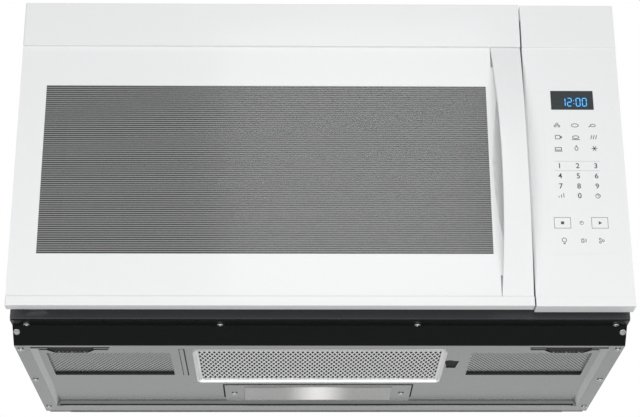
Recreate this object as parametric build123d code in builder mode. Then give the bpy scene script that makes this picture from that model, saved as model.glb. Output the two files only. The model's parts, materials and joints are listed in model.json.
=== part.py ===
import os
from build123d import *

os.makedirs("parts", exist_ok=True)

# ---------------------------------------------------------------- driving sizes, mm
width = 760.0          # across the door and the control panel
height = 438.0         # lowest flange to the top of the door
front_depth = 381.0    # wall to the front of the door's top band
sheet = 1.2            # folded steel sheet
skin = 3.0             # moulded plastic wall
slack = 0.3            # gap round loosely fitted pieces
run = 0.05             # radial clearance of a running fit

# front
door_lift = 25.0       # door's lower edge above the lowest flange
panel_w = 120.6        # control panel width
seam = 2.2             # gap between the door and the panel
top_band = 61.3        # height of the plain band over the window
low_band = 12.0        # height of the lower band
band_step = 3.5        # bands stand this far in front of the door's face
bezel_depth = 15.0     # moulded front, front to back
door_depth = 36.0      # whole door, front to back
door_gap = 1.5         # shut door to the chassis face
window_left = 33.5     # door edge to the window
window_right = 46.7    # window to the door's right edge
window_low = 68.0      # door's lower edge to the window
window_top = 55.7      # window to the top band
grip_margin = 8.0      # window to the grip bar's wide ends
grip_bow = 13.0        # bar stands this far before the bands at mid height
grip_waist = 6.0       # bar is this much narrower at mid height
grip_thick = 5.0
dish_depth = 20.0      # finger room scooped behind the bar

# oven cavity, its inside's distance from what is round it
oven_left = 41.0       # front's left edge
oven_right = 58.4      # control panel's left edge
oven_low = 70.0        # lowest flange
oven_top = 106.0       # top of the door
oven_wall = 1.0
rear_room = 10.0       # cavity back to the rear panel

# underside
flange_w = 17.0        # flat margin at the sides of the stamped underside
flange_f = 12.0        # the same at the front
flange_r = 24.0        # and at the rear
recess = 6.0           # stamped floor above the flange
valance_run = 20.0     # slanted black front, front to back
ledge_run = 22.5       # flat ledge behind the door
ledge_z = 20.5
filter_w = 320.0
lens_after = 42.7      # filter to the lens
lens_rear = 13.8       # lens to the stamped floor's rear
vents_after = 26.0     # stamped floor's front to the vents
vent_in = 30.0         # filter to the vents
vent_out = 18.0        # vents to the stamped floor's side
lens_w = 200.0
lens_d = 56.0
deck_z = 36.0

# turning plate
tray_room = 24.1       # cavity's depth less the tray's diameter
track_in = 42.5        # tray's rim to the circle the rollers run on
roller_r = 7.0

# blower and duct
duct_w = 254.0
duct_d = 82.5
wheel_r = 38.0
fan_r = 40.0

# ---------------------------------------------------------------- places worked out from them
x_l, x_r = -width / 2, width / 2
y_f = -front_depth
y_face = y_f + band_step
y_bezel = y_f + bezel_depth
y_door = y_f + door_depth
y_chas = y_door + door_gap
y_frame = y_chas + sheet
z_door = door_lift
z_mid_low = z_door + low_band
z_mid_top = height - top_band
panel_x = x_r - panel_w
door_x = panel_x - seam
win_x0 = x_l + window_left
win_x1 = door_x - window_right
win_z0 = z_door + window_low
win_z1 = z_mid_top - window_top
side_x = x_r - 1.0
body_top = height - 2.0
rear_y = -2.0
rear_in = rear_y - sheet
oven_x0 = x_l + oven_left
oven_x1 = panel_x - oven_right
oven_z1 = height - oven_top
oven_back = rear_in - rear_room
oven_cx = (oven_x0 + oven_x1) / 2
oven_cy = (y_frame + oven_back) / 2
tray_d = oven_back - y_frame - tray_room
track_r = tray_d / 2 - track_in
grip_x = win_x1 + grip_margin
grip_zc = (z_mid_low + z_mid_top) / 2
grip_half = (z_mid_top - z_mid_low) / 2
valance_y = y_chas + ledge_run
base_y = valance_y + valance_run
floor_z = recess + sheet
plate_back = rear_in

# small screws, their holes and where they sit
screw_r, head_r, head_h = 1.9, 4.0, 1.6
hole_r = screw_r + 0.2
shank_sides, head_sides = 8, 16      # small screws and the holes under their heads
flange_screw_x = side_x - 6.5
flange_screw_y = (base_y + 14, (base_y + plate_back) / 2 - 4, plate_back - 22)
lip = 21.0             # flat top of the black rail, front to back
ledge_screw_x = (18 - side_x, -123.5, 119.0, side_x - 15)
ledge_screw_y = valance_y - 5.5


def block(x0, x1, y0, y1, z0, z1, mode=Mode.ADD):
    with Locations(((x0 + x1) / 2, (y0 + y1) / 2, (z0 + z1) / 2)):
        Box(x1 - x0, y1 - y0, z1 - z0, mode=mode)


def tube_x(x0, x1, y, z, r, mode=Mode.ADD):
    with Locations(Location(((x0 + x1) / 2, y, z), (0, 90, 0))):
        Cylinder(r, x1 - x0, mode=mode)


def tube_y(y0, y1, x, z, r, mode=Mode.ADD):
    with Locations(Location((x, (y0 + y1) / 2, z), (90, 0, 0))):
        Cylinder(r, y1 - y0, mode=mode)


def tube_z(z0, z1, x, y, r, mode=Mode.ADD):
    with Locations((x, y, (z0 + z1) / 2)):
        Cylinder(r, z1 - z0, mode=mode)


def bar_x(x0, x1, y, z, r, sides, mode=Mode.ADD):
    with BuildSketch(Plane.YZ.offset(x0)) as outline:
        with Locations((y, z)):
            RegularPolygon(r, sides)
    extrude(outline.sketch, amount=x1 - x0, mode=mode)


def bar_z(z0, z1, x, y, r, sides, mode=Mode.ADD):
    with BuildSketch(Plane.XY.offset(z0)) as outline:
        with Locations((x, y)):
            RegularPolygon(r, sides)
    extrude(outline.sketch, amount=z1 - z0, mode=mode)


# ================================================================ shell of the appliance
lag_x = 406.4 / 2
lag_z0, lag_z1 = 60.0, height - 78.0
plate_edge = 34.0      # the plate's sides stand this far in from the wrap's
plate_rim = 45.0       # its frame
lag_r = 4.0
with BuildPart() as wall_plate:
    block(plate_edge - side_x, side_x - plate_edge, rear_y, 0, -1, lag_z1 + 40)
    block(plate_edge + plate_rim - side_x, side_x - plate_edge - plate_rim, rear_y, 0,
          lag_z0 + 30, lag_z1 - 30, Mode.SUBTRACT)
    for lx in (-lag_x, lag_x):
        for lz in (lag_z0, lag_z1):
            tube_y(rear_y, 0, lx, lz, lag_r, Mode.SUBTRACT)
wall_plate.part.label = "wall_plate"

with BuildPart() as rear_panel:
    block(-side_x + sheet, side_x - sheet, rear_in, rear_y, sheet, body_top - sheet)
    block(59 - side_x, side_x - 59, rear_in, rear_y, 20, 80, Mode.SUBTRACT)
    for lx in (-lag_x, lag_x):
        tube_y(rear_in, rear_y, lx, lag_z1, 9, Mode.SUBTRACT)
rear_panel.part.label = "rear_panel"

duct_y1 = -27.5
duct_y0 = duct_y1 - duct_d
bolt_x, bolt_y, bolt_r = side_x - 109, y_frame + 52.3, 3.5
gland_x, gland_y, gland_r = side_x - 59, -60.0, 12.0
with BuildPart() as cabinet_wrap:
    block(-side_x, side_x, y_frame, rear_y, sheet, body_top)
    block(-side_x + sheet, side_x - sheet, y_frame, rear_y, sheet, body_top - sheet, Mode.SUBTRACT)
    with BuildSketch(Plane.YZ.offset(-side_x)):
        Polygon((y_frame, 0), (y_frame, ledge_z), (valance_y, ledge_z), (base_y, sheet), (base_y, 0),
                align=None)
    extrude(amount=2 * side_x, mode=Mode.SUBTRACT)
    for s in (-1, 1):
        xa, xb = sorted((s * (side_x - sheet), s * (side_x - flange_w)))
        block(xa, xb, base_y, rear_in, sheet, 2 * sheet)
        for sy in flange_screw_y:
            bar_z(sheet, 2 * sheet, s * flange_screw_x, sy, hole_r, shank_sides, Mode.SUBTRACT)
    block(-duct_w / 2, duct_w / 2, duct_y0, duct_y1, body_top - sheet, body_top, Mode.SUBTRACT)
    for s in (-1, 1):
        tube_z(body_top - sheet, body_top, s * bolt_x, bolt_y, bolt_r, Mode.SUBTRACT)
    tube_z(body_top - sheet, body_top, gland_x, gland_y, gland_r, Mode.SUBTRACT)
cabinet_wrap.part.label = "cabinet_wrap"

grille_x0, grille_x1 = oven_x0 - 8, oven_x1 + 36
grille_z0, grille_z1 = z_mid_top + 21, body_top - sheet - 3
bay_x0, bay_x1 = panel_x + 6, side_x - 8
hook_x = door_x - 20.2
hook_z = (grip_zc - 105, grip_zc + 105)
with BuildPart() as front_frame:
    block(-side_x, side_x, y_chas, y_frame, ledge_z, body_top)
    block(-side_x + sheet, side_x - sheet, y_frame, valance_y, ledge_z, ledge_z + sheet)
    block(oven_x0, oven_x1, y_chas, y_frame, oven_low, oven_z1, Mode.SUBTRACT)
    block(grille_x0, grille_x1, y_chas, y_frame, grille_z0, grille_z1, Mode.SUBTRACT)
    block(bay_x0, bay_x1, y_chas, y_frame, 60, height - 42, Mode.SUBTRACT)
    for hz in hook_z:
        block(hook_x - 6, hook_x + 6, y_chas, y_frame, hz - 18, hz + 18, Mode.SUBTRACT)
    for lx in ledge_screw_x:
        bar_z(ledge_z, ledge_z + sheet, lx, ledge_screw_y, hole_r, shank_sides, Mode.SUBTRACT)
front_frame.part.label = "front_frame"

with BuildPart() as vent_grille:
    block(grille_x0 - 5, grille_x1 + 5, y_frame, y_frame + 8, grille_z0 - 3, grille_z1 + 3)
    slats = 13
    pitch = (grille_x1 - grille_x0) / slats
    for i in range(slats):
        gx = grille_x0 + (i + 0.5) * pitch
        block(gx - pitch / 2 + 2, gx + pitch / 2 - 2, y_frame, y_frame + 8,
              grille_z0 + 2, (grille_z0 + grille_z1) / 2 - 1, Mode.SUBTRACT)
        block(gx - pitch / 2 + 2, gx + pitch / 2 - 2, y_frame, y_frame + 8,
              (grille_z0 + grille_z1) / 2 + 1, grille_z1 - 2, Mode.SUBTRACT)
vent_grille.part.label = "vent_grille"

# black slanted rail between the door ledge and the stamped underside
slope_len = ((ledge_z - sheet) ** 2 + valance_run ** 2) ** 0.5
slope_ny, slope_nz = -(ledge_z - sheet) / slope_len, -valance_run / slope_len


def slope_outer(z):
    return valance_y + slope_ny * sheet + valance_run * (ledge_z + slope_nz * sheet - z) / (ledge_z - sheet)


with BuildPart() as front_valance:
    with BuildSketch(Plane.YZ.offset(-side_x)):
        with BuildLine():
            Polyline((valance_y - lip, ledge_z), (valance_y, ledge_z), (base_y, sheet), (base_y, 0),
                     (slope_outer(0), 0), (slope_outer(ledge_z - sheet), ledge_z - sheet),
                     (valance_y - lip, ledge_z - sheet), close=True)
        make_face()
    extrude(amount=2 * side_x)
    for lx in ledge_screw_x:
        bar_z(ledge_z - sheet, ledge_z, lx, ledge_screw_y, hole_r, shank_sides, Mode.SUBTRACT)
front_valance.part.label = "front_valance"

# ================================================================ stamped underside
floor_x = side_x - flange_w - recess
floor_y0 = base_y + flange_f + recess
floor_y1 = plate_back - flange_r - recess
lens_y1 = floor_y1 - lens_rear
lens_y0 = lens_y1 - lens_d
filt_y0 = floor_y0 + 1 + slack
filt_y1 = lens_y0 - lens_after
filter_d = filt_y1 - filt_y0
vent_x0, vent_x1 = filter_w / 2 + vent_in, floor_x - vent_out
vent_w, vent_d = vent_x1 - vent_x0, filter_d - 44
vent_cols, vent_rows = int(vent_w // 16), int(vent_d // 18)
vent_y = floor_y0 + vents_after + vent_d / 2
vent_x = (vent_x0 + vent_x1) / 2
slot_wide, slot_narrow = 30.0, 17.5      # half widths of the slots' middles
notch_r = 8.0
with BuildPart() as base_plate:
    block(-side_x, side_x, base_y, plate_back, 0, sheet)
    with BuildSketch(Plane.XY):
        with Locations((0, (base_y + flange_f + plate_back - flange_r) / 2)):
            Rectangle(2 * (side_x - flange_w), plate_back - flange_r - base_y - flange_f)
    extrude(amount=recess + sheet, taper=45)
    with BuildSketch(Plane.XY):
        with Locations((0, (base_y + flange_f + plate_back - flange_r) / 2)):
            Rectangle(2 * (side_x - flange_w) - 2, plate_back - flange_r - base_y - flange_f - 2)
    extrude(amount=recess, taper=45, mode=Mode.SUBTRACT)
    # filter and light openings
    block(-filter_w / 2 + 8, filter_w / 2 - 8, filt_y0 + 12, filt_y1 - 8, 0, floor_z, Mode.SUBTRACT)
    block(-lens_w / 2 - 8, lens_w / 2 + 8, lens_y0 - 2, lens_y1 + 2, 0, floor_z, Mode.SUBTRACT)
    # front slots, each with a wider middle that narrows to the rear
    for s in (-1, 1):
        xa, xb = sorted((s * (side_x - 117), s * (side_x - 19)))
        block(xa, xb, base_y + 6, base_y + 11, 0, floor_z, Mode.SUBTRACT)
        xc = (xa + xb) / 2
        with BuildSketch(Plane.XY):
            Polygon((xc - slot_wide, base_y + 10), (xc + slot_wide, base_y + 10),
                    (xc + slot_narrow, base_y + 24), (xc - slot_narrow, base_y + 24), align=None)
        extrude(amount=floor_z, mode=Mode.SUBTRACT)
    # perforated fields at both sides of the filter
    for s in (-1, 1):
        with BuildSketch(Plane.XY):
            with Locations((s * vent_x, vent_y)):
                with GridLocations(vent_w / vent_cols, vent_d / vent_rows, vent_cols, vent_rows):
                    RegularPolygon(6.2, 4)
        extrude(amount=floor_z, mode=Mode.SUBTRACT)
    # finger notch at the filter's right end
    tube_z(0, floor_z, filter_w / 2 + notch_r, (filt_y0 + filt_y1) / 2, notch_r, Mode.SUBTRACT)
    # pressed rib beside the filter
    block(-filter_w / 2 - 17, -filter_w / 2 - 12, filt_y0 + 8, filt_y1 - 10, recess - 2, recess)
    # six side holes
    for s in (-1, 1):
        for sy in flange_screw_y:
            bar_z(0, sheet, s * flange_screw_x, sy, hole_r, shank_sides, Mode.SUBTRACT)
base_plate.part.label = "base_plate"

with BuildPart() as air_deck:
    block(-side_x + sheet, side_x - sheet, y_frame, rear_in, deck_z, deck_z + sheet)
    tube_z(deck_z, deck_z + sheet, oven_cx, oven_cy, 30, Mode.SUBTRACT)
    for s in (-1, 1):
        xa, xb = sorted((s * (side_x - 7), s * (side_x - 34)))
        block(xa, xb, y_frame + 42.3, -40, deck_z, deck_z + sheet, Mode.SUBTRACT)
air_deck.part.label = "air_deck"

# screws seen from below: six in the flanges, four in the ledge, two in the slanted rail
slope_at = 0.32
slope_y = valance_y + slope_at * valance_run
slope_z = ledge_z - slope_at * (ledge_z - sheet)
under_ledge = ledge_z - sheet
with BuildPart() as underside_screws:
    for s in (-1, 1):
        for sy in flange_screw_y:
            bar_z(-head_h, 0, s * flange_screw_x, sy, head_r, head_sides)
            bar_z(0, 2 * sheet + 2, s * flange_screw_x, sy, screw_r, shank_sides)
        slope = Plane(origin=(s * (side_x - 5), slope_y + slope_ny * sheet, slope_z + slope_nz * sheet),
                      z_dir=(0, slope_ny, slope_nz))
        with BuildSketch(slope):
            RegularPolygon(head_r, head_sides)
        extrude(amount=head_h)
    for lx in ledge_screw_x:
        bar_z(under_ledge - head_h, under_ledge, lx, ledge_screw_y, head_r, head_sides)
        bar_z(under_ledge, ledge_z + sheet + 2, lx, ledge_screw_y, screw_r, shank_sides)
underside_screws.part.label = "underside_screws"

# ---------------------------------------------------------------- grease filter
filt_z0 = 1.0
filt_h = recess - filt_z0
rim = 7.0
with BuildPart() as filter_frame:
    block(-filter_w / 2, filter_w / 2, filt_y0, filt_y1, filt_z0, recess)
    block(-filter_w / 2 + rim, filter_w / 2 - rim, filt_y0 + rim, filt_y1 - rim, filt_z0, recess,
          Mode.SUBTRACT)
    block(-filter_w / 2 + 1, filter_w / 2 - 1, filt_y0 + 1, filt_y1 - 1, filt_z0 + 2, recess - 1,
          Mode.SUBTRACT)
filter_frame.part.label = "filter_frame"

mesh_cols, mesh_rows = 14, 6
mesh_w, mesh_d = filter_w - 2 * 3, filter_d - 2 * 3
with BuildPart() as filter_mesh:
    block(-mesh_w / 2, mesh_w / 2, filt_y0 + 3, filt_y1 - 3, filt_z0 + 2.2, recess - 1.2)
    step_x = (filter_w - 2 * rim - 6) / mesh_cols
    step_y = (filter_d - 2 * rim - 6) / mesh_rows
    with BuildSketch(Plane.XY):
        with Locations((0, (filt_y0 + filt_y1) / 2)):
            with GridLocations(step_x, step_y, mesh_cols, mesh_rows):
                Polygon((-0.36 * step_x, 0), (0, -0.36 * step_y), (0.36 * step_x, 0), (0, 0.36 * step_y))
    extrude(amount=floor_z, mode=Mode.SUBTRACT)
filter_mesh.part.label = "filter_mesh"

# ---------------------------------------------------------------- worktop light
lamp_y = (lens_y0 + lens_y1) / 2
cover_screw_x = lens_w / 2 + 13.5
bulb_sides = 12
with BuildPart() as light_cover:
    block(-lens_w / 2 - 26, lens_w / 2 + 26, lens_y0 - 9, lens_y1 + 9, recess - sheet, recess)
    block(-lens_w / 2, lens_w / 2, lens_y0, lens_y1, recess - sheet, recess, Mode.SUBTRACT)
    for s in (-1, 1):
        bar_z(recess - sheet, recess, s * cover_screw_x, lamp_y, hole_r, shank_sides, Mode.SUBTRACT)
light_cover.part.label = "light_cover"

with BuildPart() as light_lens:
    block(-lens_w / 2 - 6, lens_w / 2 + 6, lens_y0 - 1.8, lens_y1 + 1.8, recess, recess + 1.5)
    block(-lens_w / 2 + slack, lens_w / 2 - slack, lens_y0 + slack, lens_y1 - slack, recess - 2.4, recess)
light_lens.part.label = "light_lens"

with BuildPart() as light_screws:
    for s in (-1, 1):
        bar_z(recess - sheet - head_h, recess - sheet, s * cover_screw_x, lamp_y, head_r, head_sides)
        bar_z(recess - sheet, recess, s * cover_screw_x, lamp_y, screw_r, shank_sides)
light_screws.part.label = "light_screws"

with BuildPart() as worktop_lamp:
    bar_z(deck_z - 6, deck_z, 0, lamp_y, 14, bulb_sides)
    bar_z(deck_z - 12, deck_z - 6, 0, lamp_y, 9, bulb_sides)
    with BuildSketch(Plane.XY.offset(deck_z - 12)):
        with Locations((0, lamp_y)):
            RegularPolygon(9, bulb_sides)
    extrude(amount=-10, taper=24)
worktop_lamp.part.label = "worktop_lamp"

# ================================================================ door
dish_r = (grip_half ** 2 - dish_depth ** 2) / (2 * dish_depth)
block_x0 = win_x1 + 3.0
grip_sink = 0.5        # bar's ends stand this far before the door's face
seat_h = 28.0          # pockets the bar's ends sit in
bezel_back = y_face + skin + 0.5
pocket_back = y_face + dish_depth + skin + 0.5
with BuildPart() as dish_ring:
    with BuildSketch(Plane.XY.offset(grip_zc)):
        with BuildLine():
            s1 = Spline((block_x0 + 1, y_face), (block_x0 + 14, y_face + 0.45 * dish_depth),
                        (block_x0 + 28, y_face + dish_depth))
            l1 = Line(s1 @ 1, (panel_x + 1, y_face + dish_depth))
            l2 = Line(l1 @ 1, (panel_x + 1, y_face - 5))
            l3 = Line(l2 @ 1, (block_x0 + 1, y_face - 5))
            l4 = Line(l3 @ 1, s1 @ 0)
        make_face()
    revolve(axis=Axis((0, y_face - dish_r, grip_zc), (1, 0, 0)))
    with Locations(((x_l + x_r) / 2, y_face, grip_zc)):
        Box(2 * width, 200, 2 * grip_half, mode=Mode.INTERSECT)

with BuildPart() as door_bezel:
    block(x_l, door_x, y_face, bezel_back, z_door, height)
    block(x_l, door_x, y_f, y_face, z_mid_top, height)
    block(x_l, door_x, y_f, y_face, z_door, z_mid_low)
    block(x_l, x_l + skin, bezel_back, y_bezel, z_door, height)
    block(x_l, door_x, bezel_back, y_bezel, z_door, z_door + skin)
    block(x_l, door_x, bezel_back, y_bezel, height - skin, height)
    block(block_x0, door_x, y_face, pocket_back, z_door + 6, z_mid_top + 10)
    block(block_x0, door_x, y_face, y_bezel, z_door, height)
    add(dish_ring.part, mode=Mode.SUBTRACT)
    for za, zb in ((z_mid_low, z_mid_low + seat_h), (z_mid_top - seat_h, z_mid_top)):
        block(grip_x - 0.2, door_x, y_face, y_face + grip_thick - grip_sink, za, zb, Mode.SUBTRACT)
    block(win_x0, win_x1, y_face, bezel_back, win_z0, win_z1, Mode.SUBTRACT)
    corner = door_bezel.edges().filter_by(Axis.Z).group_by(Axis.X)[0].group_by(Axis.Y)[0]
    fillet(corner, 2.5)
door_bezel.part.label = "door_bezel"

# grip bar: bowed in profile and waisted at its free edge
with BuildPart() as door_grip:
    with BuildSketch(Plane.YZ.offset(grip_x)):
        with BuildLine():
            f1 = ThreePointArc((y_face - grip_sink, z_mid_low), (y_f - grip_bow, grip_zc),
                                (y_face - grip_sink, z_mid_top))
            g1 = Line(f1 @ 1, (y_face + grip_thick - grip_sink, z_mid_top))
            f2 = ThreePointArc(g1 @ 1, (y_f - grip_bow + grip_thick, grip_zc),
                               (y_face + grip_thick - grip_sink, z_mid_low))
            g2 = Line(f2 @ 1, f1 @ 0)
        make_face()
    extrude(amount=door_x - grip_x)
    with BuildSketch(Plane.XZ.offset(-y_face - 20)):
        with BuildLine():
            a1 = ThreePointArc((grip_x, z_mid_low), (grip_x + grip_waist, grip_zc), (grip_x, z_mid_top))
            b1 = Line(a1 @ 1, (grip_x - 5, z_mid_top))
            b2 = Line(b1 @ 1, (grip_x - 5, z_mid_low))
            b3 = Line(b2 @ 1, a1 @ 0)
        make_face()
    extrude(amount=60, mode=Mode.SUBTRACT)
door_grip.part.label = "door_grip"

with BuildPart() as window_glass:
    block(win_x0, win_x1, y_face + 0.2, bezel_back, win_z0, win_z1)
window_glass.part.label = "window_glass"

# metal tray behind the moulded front, with the opening the cooking is seen through
tray_x0, tray_x1 = x_l + 8, block_x0 - 4
tray_z0, tray_z1 = z_door + 7.5, grille_z0 - 8
tray_back = pocket_back + 1
view_x0, view_x1 = win_x0 + 28.5, win_x1 - 30.5
view_z0, view_z1 = win_z0 + 22, win_z1 - 44
with BuildPart() as door_tray:
    block(tray_x0, tray_x1, bezel_back, tray_back, tray_z0, tray_z1)
    block(tray_x0 + sheet, tray_x1 - sheet, bezel_back + sheet, tray_back,
          tray_z0 + sheet, tray_z1 - sheet, Mode.SUBTRACT)
    block(view_x0, view_x1, bezel_back, tray_back, view_z0, view_z1, Mode.SUBTRACT)
door_tray.part.label = "door_tray"

screen_cols, screen_rows = int((view_x1 - view_x0) // 35), int((view_z1 - view_z0) // 32)
screen_px, screen_pz = (view_x1 - view_x0) / screen_cols, (view_z1 - view_z0) / screen_rows
screen_bar = 6.5
with BuildPart() as window_screen:
    block(view_x0 - 10, view_x1 + 10, bezel_back + sheet, bezel_back + sheet + 0.8,
          view_z0 - 10, view_z1 + 10)
    with BuildSketch(Plane.XZ.offset(-bezel_back)):
        with Locations(((view_x0 + view_x1) / 2, (view_z0 + view_z1) / 2)):
            with GridLocations(screen_px, screen_pz, screen_cols, screen_rows):
                Rectangle(screen_px - screen_bar, screen_pz - screen_bar)
    extrude(amount=-3, mode=Mode.SUBTRACT)
window_screen.part.label = "window_screen"

# wave-trap panel: the wider metal pan that faces the cavity's rim
choke_x1 = door_x - 6
choke_back = y_door - 1.0
with BuildPart() as choke_panel:
    block(tray_x0, choke_x1, tray_back, choke_back, tray_z0, tray_z1)
    block(tray_x0 + sheet, choke_x1 - sheet, tray_back + sheet, choke_back,
          tray_z0 + sheet, tray_z1 - sheet, Mode.SUBTRACT)
    block(view_x0, view_x1, tray_back, choke_back, view_z0, view_z1, Mode.SUBTRACT)
choke_panel.part.label = "choke_panel"

cover_y0 = y_door - 3.5
hook_w = 4.0
with BuildPart() as choke_cover:
    block(tray_x0 + sheet + slack, choke_x1 - sheet - slack, cover_y0, y_door,
          tray_z0 + sheet + slack, tray_z1 - sheet - slack)
    block(view_x0, view_x1, cover_y0, y_door, view_z0, view_z1, Mode.SUBTRACT)
    for hz in hook_z:
        block(hook_x - hook_w / 2 - 1, hook_x + hook_w / 2 + 1, cover_y0, y_door,
              hz - 16, hz + 16, Mode.SUBTRACT)
choke_cover.part.label = "choke_cover"

with BuildPart() as window_film:
    block(view_x0 - 6, view_x1 + 6, cover_y0 - 0.6, cover_y0, view_z0 - 6, view_z1 + 6)
window_film.part.label = "window_film"

# latch slide: one moulded bar with an upper and a lower hook
latch_travel = 5.0
latch_y0 = tray_back + sheet + slack
latch_y1 = cover_y0 - slack
hook_reach = 22.0
with BuildPart() as latch_slide:
    block(hook_x - 7, hook_x + 7, latch_y0, latch_y1, hook_z[0] - 22, hook_z[1] + 22)
    for hz in hook_z:
        block(hook_x - hook_w / 2, hook_x + hook_w / 2, latch_y1, y_door + hook_reach, hz - 5, hz + 5)
        block(hook_x - hook_w / 2, hook_x + hook_w / 2, y_door + hook_reach - 6, y_door + hook_reach,
              hz - 8.5, hz - 5)
latch_slide.part.label = "latch_slide"

spring_z0 = hook_z[1] + 22
spring_h = 26.0
with BuildPart() as latch_spring:
    with BuildSketch(Plane.XZ.offset(-latch_y1 + 0.2)):
        with BuildLine():
            Polyline((hook_x, spring_z0 + 0.8), (hook_x - 6, spring_z0 + 0.2 * spring_h),
                     (hook_x + 6, spring_z0 + 0.4 * spring_h), (hook_x - 6, spring_z0 + 0.6 * spring_h),
                     (hook_x + 6, spring_z0 + 0.8 * spring_h), (hook_x, spring_z0 + spring_h))
        trace(line_width=0.9)
        with Locations((hook_x, spring_z0 + spring_h + 1.4)):
            Rectangle(16, 3)
        with Locations((hook_x, spring_z0 + 0.8)):
            Rectangle(6, 1.0)
    extrude(amount=latch_y1 - latch_y0 - 0.2)
latch_spring.part.label = "latch_spring"

# ---------------------------------------------------------------- hinges on the left
hinge_x, hinge_y = x_l + 12, y_f + 16
pin_r, arm_r, arm_t = 3.0, 6.0, 2.5
low_arm_z = tray_z0 - slack - arm_t
top_arm_z = tray_z1 + slack
foot_x = hinge_x + 26
with BuildPart() as hinge_arms:
    for az, foot_z0, foot_z1 in ((low_arm_z, low_arm_z, low_arm_z + arm_t),
                                 (top_arm_z, top_arm_z - 6, top_arm_z + 12)):
        tube_z(az, az + arm_t, hinge_x, hinge_y, arm_r)
        with BuildSketch(Plane.XY.offset(az)):
            Polygon((hinge_x - 1, hinge_y + 5.8), (hinge_x + 4.2, hinge_y - 4), (foot_x + 8, y_chas - 7),
                    (foot_x + 8, y_chas), (foot_x - 10, y_chas), align=None)
        extrude(amount=arm_t)
        block(foot_x - 10, foot_x + 8, y_chas - 1.5, y_chas, foot_z0, foot_z1)
        tube_z(az, az + arm_t, hinge_x, hinge_y, pin_r + run, Mode.SUBTRACT)
hinge_arms.part.label = "hinge_arms"

with BuildPart() as hinge_pins:
    tube_z(low_arm_z - 1, tray_z0, hinge_x, hinge_y, pin_r)
    tube_z(tray_z1, top_arm_z + arm_t + 1, hinge_x, hinge_y, pin_r)
hinge_pins.part.label = "hinge_pins"

# ================================================================ control panel
panel_set = 2.0        # panel stands this far behind the door's front
panel_f = y_f + panel_set
panel_face = panel_f + 1.2
panel_depth = 22.0
panel_back = panel_f + panel_depth
disp_x0, disp_x1 = panel_x + 33, panel_x + 87
disp_z0, disp_z1 = z_door + 263.5, z_door + 290
pad_x0, pad_x1 = panel_x + 22, panel_x + 100
pad_z0, pad_z1 = z_door + 68, z_door + 256
pad_t = 0.4
edge_w = 4.3           # bevel along the panel's left edge
with BuildPart() as control_fascia:
    block(panel_x, x_r, panel_face, panel_face + skin, z_door, height)
    block(panel_x, x_r, panel_f, panel_face, z_mid_top, height)
    block(panel_x, x_r, panel_f, panel_face, z_door, z_mid_low)
    block(panel_x, panel_x + skin, panel_face, panel_back, z_door, height)
    block(x_r - skin, x_r, panel_face, panel_back, z_door, height)
    block(panel_x, x_r, panel_face, panel_back, z_door, z_door + skin)
    block(panel_x, x_r, panel_face, panel_back, height - skin, height)
    block(disp_x0, disp_x1, panel_face, panel_face + skin, disp_z0, disp_z1, Mode.SUBTRACT)
    block(pad_x0, pad_x1, panel_face, panel_face + pad_t, pad_z0, pad_z1, Mode.SUBTRACT)
    with BuildSketch(Plane.XY.offset(z_mid_low)):
        Polygon((panel_x, panel_face), (panel_x + edge_w, panel_face), (panel_x, panel_face + edge_w / 2),
                align=None)
    extrude(amount=z_mid_top - z_mid_low, mode=Mode.SUBTRACT)
control_fascia.part.label = "control_fascia"

with BuildPart() as display_window:
    block(disp_x0 + 0.2, disp_x1 - 0.2, panel_face - 0.2, panel_face + skin, disp_z0 + 0.2, disp_z1 - 0.2)
    block(disp_x0 - 4, disp_x1 + 4, panel_face + skin, panel_face + skin + 1, disp_z0 - 4, disp_z1 + 4)
display_window.part.label = "display_window"

with BuildPart() as keypad_overlay:
    block(pad_x0, pad_x1, panel_face, panel_face + pad_t, pad_z0, pad_z1)
keypad_overlay.part.label = "keypad_overlay"

with BuildPart() as panel_carrier:
    block(panel_x + skin + 0.5, x_r - skin - 0.5, panel_back - 6, y_chas, z_door + 12, z_door + 16)
    block(panel_x + skin + 0.5, x_r - skin - 0.5, panel_back - 6, y_chas, height - 16, height - 12)
    block(panel_x + skin + 0.5, panel_x + skin + 3, panel_back - 6, y_chas, z_door + 12, height - 12)
    block(x_r - skin - 3, x_r - skin - 0.5, panel_back - 6, y_chas, z_door + 12, height - 12)
    block(panel_x, x_r - 1.5, panel_back, panel_back + 2, z_door + 3, height - 3)
    block(panel_x + 6, x_r - 8, panel_back - 6, y_chas, z_door + 16, height - 16, Mode.SUBTRACT)
panel_carrier.part.label = "panel_carrier"

board_y = panel_back + 2
with BuildPart() as control_board:
    block(bay_x0, x_r - 8 - slack, board_y, board_y + 1.6, 100, height - 66)
    block(bay_x0 + 24.6, bay_x0 + 64.6, board_y + 1.6, board_y + 24, 120, 160)
    block(bay_x0 + 74.6, bay_x0 + 94.6, board_y + 1.6, board_y + 18, 120, 138)
    block(bay_x0 + 74.6, bay_x0 + 94.6, board_y + 1.6, board_y + 18, 142, 160)
    tube_y(board_y + 1.6, board_y + 22, bay_x0 + 34.6, 190, 8)
    block(disp_x0 - 2, disp_x1 + 2, panel_face + skin + 1, board_y, disp_z0 - 2, disp_z1 + 2)
control_board.part.label = "control_board"

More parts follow.
